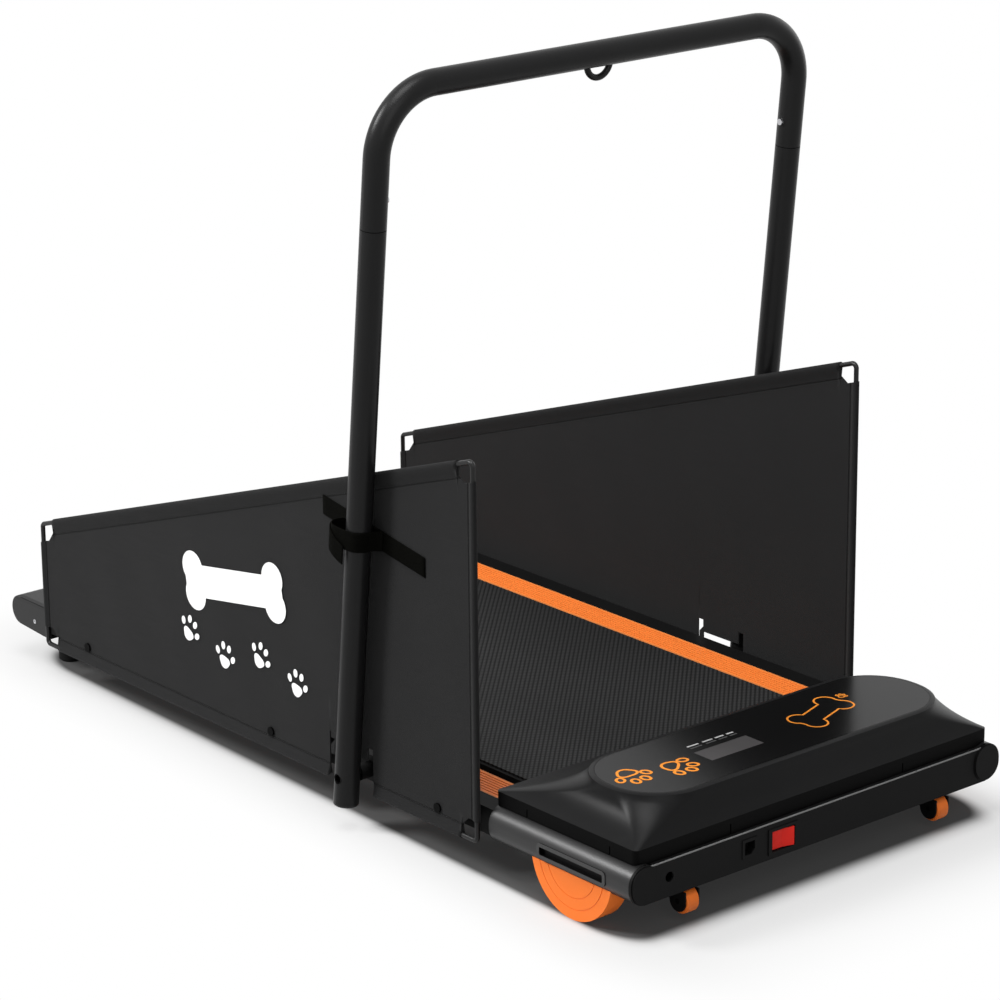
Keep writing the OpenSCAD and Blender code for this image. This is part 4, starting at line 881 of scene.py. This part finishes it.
def ribbon(name, s, path, across, thickShare=1.0, closed=False):
    # a flat band with soft edges along a path; its uv map runs in metres
    width, thick = s["width"], s["thick"] * thickShare
    pts = [Vector(p) for p in path]
    side = Vector(across).normalized()
    top = [*s["edgeShares"], (0, 0.5), *((-a, b) for a, b in reversed(s["edgeShares"]))]
    profile = top + [(-a, -b) for a, b in top]
    n, k = len(pts), len(profile)
    verts, lengths, run = [], [], 0.0
    for i, p in enumerate(pts):
        before = pts[i - 1] if i or closed else p
        after = pts[(i + 1) % n] if i < n - 1 or closed else p
        out = (after - before).normalized().cross(side).normalized()
        run += (p - pts[i - 1]).length if i else 0.0
        lengths.append(run)
        verts += [p + side * (a * width) + out * (b * thick) for a, b in profile]
    faces, uvs = [], []
    for i in range(n if closed else n - 1):
        j = (i + 1) % n
        end = lengths[j] if j else run + (pts[0] - pts[-1]).length
        for m in range(k):
            m2 = (m + 1) % k
            faces.append((i * k + m, i * k + m2, j * k + m2, j * k + m))
            corners = ((lengths[i], m), (lengths[i], m2), (end, m2), (end, m))
            uvs += [(along, profile[c][0] * width) for along, c in corners]
    if not closed:
        for i, order in ((0, range(k - 1, -1, -1)), (n - 1, range(k))):
            faces.append(tuple(i * k + m for m in order))
            uvs += [(lengths[i], profile[m][0] * width) for m in order]
    return meshOf(name, verts, faces, uvs=uvs)


def handlePoint(s, side, x, y, up):
    # from the post's own frame, which stands on the hinge and leans forward
    a = math.radians(s["lean"])
    return (side * (s["postX"] + x), hingeY + y * math.cos(a) - up * math.sin(a),
            hingeZ + y * math.sin(a) + up * math.cos(a))


def smoothPath(points, steps, closed=False):
    # points eased through their neighbours
    n, out = len(points), []
    for i in range(n if closed else n - 1):
        near = [(i + k) % n if closed else min(max(i + k, 0), n - 1) for k in (-1, 0, 1, 2)]
        a, b, c, d = (Vector(points[k]) for k in near)
        for j in range(steps):
            t = j / steps
            out.append(0.5 * (2 * b + (c - a) * t + (2 * a - 5 * b + 4 * c - d) * t ** 2
                              + (3 * b - a - 3 * c + d) * t ** 3))
    return out if closed else out + [Vector(points[-1])]


def tongueMesh(s, side):
    # the strap's loose end lies outside the band and hangs at a slant
    path = smoothPath([(x, y, low) for (x, y), low in zip(s["tongue"], s["tongueLow"])], s["tongueSteps"])
    tops = [p.x for p in smoothPath([(high, 0) for high in s["tongueTop"]], s["tongueSteps"])]
    rows, verts, places = s["tongueRows"], [], []
    for lift in (0, s["thick"]):
        for i, p in enumerate(path):
            d = (path[min(i + 1, len(path) - 1)] - path[max(i - 1, 0)]).to_2d().normalized()
            x, y = p.x * mm + d.y * lift, p.y * mm - d.x * lift
            for j in range(rows):
                up = (p.z + (tops[i] - p.z) * j / (rows - 1)) * mm
                verts.append(handlePoint(s, side, x, y, s["up"] + up))
                places.append((i * s["tongueWeave"], up))
    faces = slabFaces(len(path), rows)
    return meshOf("tongue", verts, faces, uvs=[places[v] for face in faces for v in face])


def makeStraps(s):
    a = math.radians(s["lean"])
    upright = (0, -math.sin(a), math.cos(a))
    y0, z0 = handlePoint(s, 1, 0, 0, s["up"])[1:]
    loops, strips = [], []
    for side, label in sides:
        around = smoothPath(s["band"], s["bandSteps"], closed=True)
        ring = [handlePoint(s, side, x * mm, y * mm, s["up"]) for x, y in around]
        loops += [ribbon(label + "Band", s, ring, upright, closed=True), tongueMesh(s, side)]
        path = [(side * (s["stripOut"] - s["thick"] / 2), y0 + d, z0 + d * s["stripFall"])
                for d in np.linspace(-s["stripFront"], s["stripRear"], s["stripSteps"])]
        strips.append(ribbon(label + "Strip", s, path, (0, 0, 1), s["stripShare"]))
    pieces = (("postStrapLoops", loops, "handle", "strap_loops"),
              ("guardStrapStrips", strips, "base", "strap_tails"))
    for name, meshes, body, node in pieces:
        piece = addPiece(name, joinMeshes(name, meshes), mats["strap"], body)
        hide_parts(node)


makeStraps(strapShape)
print("straps made")


# printed marks: outlined or filled shapes, thinner than a fifth of a millimetre
def flatRing(points, width):
    # four-cornered plates that follow a closed outline
    pts = [Vector(p) for p in points]
    n = len(pts)
    inner, outer = [], []
    for i, p in enumerate(pts):
        d = (pts[(i + 1) % n] - pts[i - 1]).normalized()
        q = Vector((-d.y, d.x)) * (width / 2)
        inner.append(p + q)
        outer.append(p - q)
    return [[outer[i - 1], outer[i], inner[i], inner[i - 1]] for i in range(n)]


def moved(points, x, y, turn):
    c, s = math.cos(turn), math.sin(turn)
    return [(x + px * c - py * s, y + px * s + py * c) for px, py in points]


# a heel pad with three soft lobes and four oval toes, for a paw of size 1
pawForm = {
    "padY": -0.3, "pad": (0.448, 0.344), "lobe": 0.1, "sag": 0.05, "padPoints": 40,
    "toe": (0.17, 0.23), "toePoints": 28,
    "toes": ((-0.68, 0.1, 0.5), (-0.26, 0.56, 0.16), (0.26, 0.56, -0.16), (0.68, 0.1, -0.5)),
}


def pawShapes(x, y, size, turn, s=pawForm):
    angles = [[2 * math.pi * i / n for i in range(n)] for n in (s["padPoints"], s["toePoints"])]
    pad = []
    for t in angles[0]:
        r = 1 + s["lobe"] * math.cos(3 * (t + math.pi / 2)) - s["sag"] * math.sin(t)
        pad.append((s["pad"][0] * r * math.cos(t), s["pad"][1] * r * math.sin(t) + s["padY"]))
    toe = [(s["toe"][0] * math.cos(t), s["toe"][1] * math.sin(t)) for t in angles[1]]
    shapes = [pad] + [moved(toe, *place) for place in s["toes"]]
    return [moved([(px * size, py * size) for px, py in shape], x, y, turn) for shape in shapes]


# a shaft with two knobs at each end: each knob's end, row and first angle in degrees
boneForm = {"knobs": ((1, -1, 190), (1, 1, -35), (-1, 1, 10), (-1, -1, 145)), "sweep": 205, "spread": 0.82,
            "knobPoints": 14}


def boneOutline(x, y, length, lobe, turn, s=boneForm):
    half, n = length / 2 - lobe, s["knobPoints"]
    outline = []
    for end, row, start in s["knobs"]:
        for i in range(n + 1):
            t = math.radians(start + s["sweep"] * i / n)
            outline.append((end * half + lobe * math.cos(t), lobe * (row * s["spread"] + math.sin(t))))
    return moved(outline, x, y, turn)


# paws are x, y, size and turn; a bone is x, y, length, knob and turn
consoleMarks = {
    "paws": ((-0.187, -0.476, 0.0255, 3.14), (-0.134, -0.489, 0.0255, -2.4)), "stroke": 0.003,
    "bone": (0.084, -0.476, 0.086, 0.0125, 0.32), "boneStroke": 0.0022,
    "smallPaw": (0.134, -0.457, 0.0075, -0.88), "smallStroke": 0.0012,
    "bars": ((-0.092, -0.076), (-0.070, -0.056), (-0.052, -0.040), (-0.036, -0.026)),
    "rows": (("displayBars", "inkPale", -0.4575, 0.0022), ("displayNotes", "inkDim", -0.463, 0.002)),
    "lift": 0.00002, "thick": 0.00018,
}


def makeConsoleMarks(s):
    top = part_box("console_panel")[1].z

    def onTop(x, y, height):
        return (x, y, top + height)

    def printed(name, shapes, ink):
        mesh = plateMesh(name, shapes, s["lift"], s["thick"], onTop)
        addPiece(name, mesh, mats[ink], "base", smooth=False)

    rings = [(shape, s["stroke"]) for paw in s["paws"] for shape in pawShapes(*paw)]
    rings.append((boneOutline(*s["bone"]), s["boneStroke"]))
    rings += [(shape, s["smallStroke"]) for shape in pawShapes(*s["smallPaw"])]
    printed("consoleMarks", [plate for ring in rings for plate in flatRing(*ring)], "inkOrange")
    for name, ink, y, deep in s["rows"]:
        printed(name, [[(a, y), (b, y), (b, y + deep), (a, y + deep)] for a, b in s["bars"]], ink)


guardMark = {
    "bone": (0.085, 0.216, 0.19, 0.019, -0.16),
    "paws": ((0.172, 0.142, 0.021, 0.5), (0.105, 0.128, 0.021, 0.2), (0.038, 0.146, 0.021, 0.5),
             (-0.029, 0.132, 0.021, 0.2)),
    "lift": 0.0015, "thick": 0.00015,
}


def makeGuardMark(s, side, label):
    def onGuard(y, z, height):
        return (side * (guardShape["x"] + height), y, z)

    shapes = [boneOutline(*s["bone"])]
    for paw in s["paws"]:
        shapes += pawShapes(*paw)
    mesh = plateMesh(label + "GuardMark", shapes, s["lift"], s["thick"], onGuard)
    addPiece(label + "GuardMark", mesh, mats["inkWhite"], "base", smooth=False)


makeConsoleMarks(consoleMarks)
for side, label in sides:
    makeGuardMark(guardMark, side, label)
print("printed marks made")


# plain studio: a white floor that keeps the real shadow round the machine and adds a painted shadow under it,
# and soft lamps
studio = {
    "floorHalf": 30, "dark": 0.08, "floor": 0.5, "bounce": 0.5, "world": 0.16,
    # the painted shadow's rounded rectangle: its half sizes, softness, shift and taper, then its edge and its
    # fades
    "half": (0.22, 0.481), "soft": (1, 0.5), "push": (0.0, -0.011), "taper": 0.02,
    "edge": (0.03, 0.042), "fades": ((0.028, 0.05, 0.55), (0.03, 0.14, 0.45)), "least": 0.024,
    # each lamp's place, aim, width and watts
    "lamps": (((-3.0, 1.9, 3.0), (0, 0, 0.3), 1.3, 205), ((-1.6, -3.2, 2.2), (0, 0, 0.2), 2.6, 28),
              ((-0.9, -0.5, 3.6), (0, 0, 0), 2.0, 88), ((3.4, 0.0, 0.9), (0, 0, 0.25), 2.4, 14)),
}


def paintFloor(name, s):
    # a painted shadow: dark floor colour close to the machine, and white further out, as far as it is seen
    p = Paint(name)
    x, y = p.axes("XY")
    halves = (s["half"][0] - y * s["taper"], s["half"][1])
    out = [(abs(v - push) - half).atLeast(0) * soft
           for v, push, half, soft in zip((x, y), s["push"], halves, s["soft"])]
    far = (out[0] * out[0] + out[1] * out[1]) ** 0.5
    seen = p.seen()
    # painted shadow: the floor colour is dark inside the rectangle
    color = p.blend(p.ease(far, *s["edge"]), grey(s["dark"]), grey(s["floor"]))
    color = p.blend(seen, grey(s["bounce"]), color)
    diffuse = p.node("BsdfDiffuse", None, {"Color": color})
    fade = sum(p.ease(far, start, end) * share for start, end, share in s["fades"]).atLeast(s["least"])
    white = p.node("Emission", None, {"Color": opaque(grey(1)), "Strength": 1.0})
    return p.output(p.node("MixShader", None, {0: fade * seen, 1: diffuse, 2: white}))


def paintRoom(name, s):
    p = Paint(name, "worlds")
    light = p.seen() * (1 - s["world"]) + s["world"]
    return p.output(p.node("Background", None, {"Color": opaque(grey(1)), "Strength": light}), "World")


def makeStudio(s):
    scene = bpy.context.scene
    h = s["floorHalf"]
    mesh = bpy.data.meshes.new("floor")
    mesh.from_pydata([(-h, -h, 0), (h, -h, 0), (h, h, 0), (-h, h, 0)], [], [(0, 1, 2, 3)])
    mesh.materials.append(paintFloor("whiteFloor", s))
    floor = bpy.data.objects.new("floor", mesh)
    scene.collection.objects.link(floor)
    scene.world = paintRoom("paleRoom", s)
    for i, (at, to, wide, power) in enumerate(s["lamps"]):
        lamp = bpy.data.lights.new("softLamp%d" % i, "AREA")
        lamp.shape, lamp.size, lamp.energy = "DISK", wide, power
        obj = bpy.data.objects.new("softLamp%d" % i, lamp)
        obj.location = at
        obj.rotation_euler = (Vector(at) - Vector(to)).to_track_quat("Z", "Y").to_euler()
        scene.collection.objects.link(obj)
    scene.view_settings.view_transform = "Standard"


makeStudio(studio)
print("studio set")
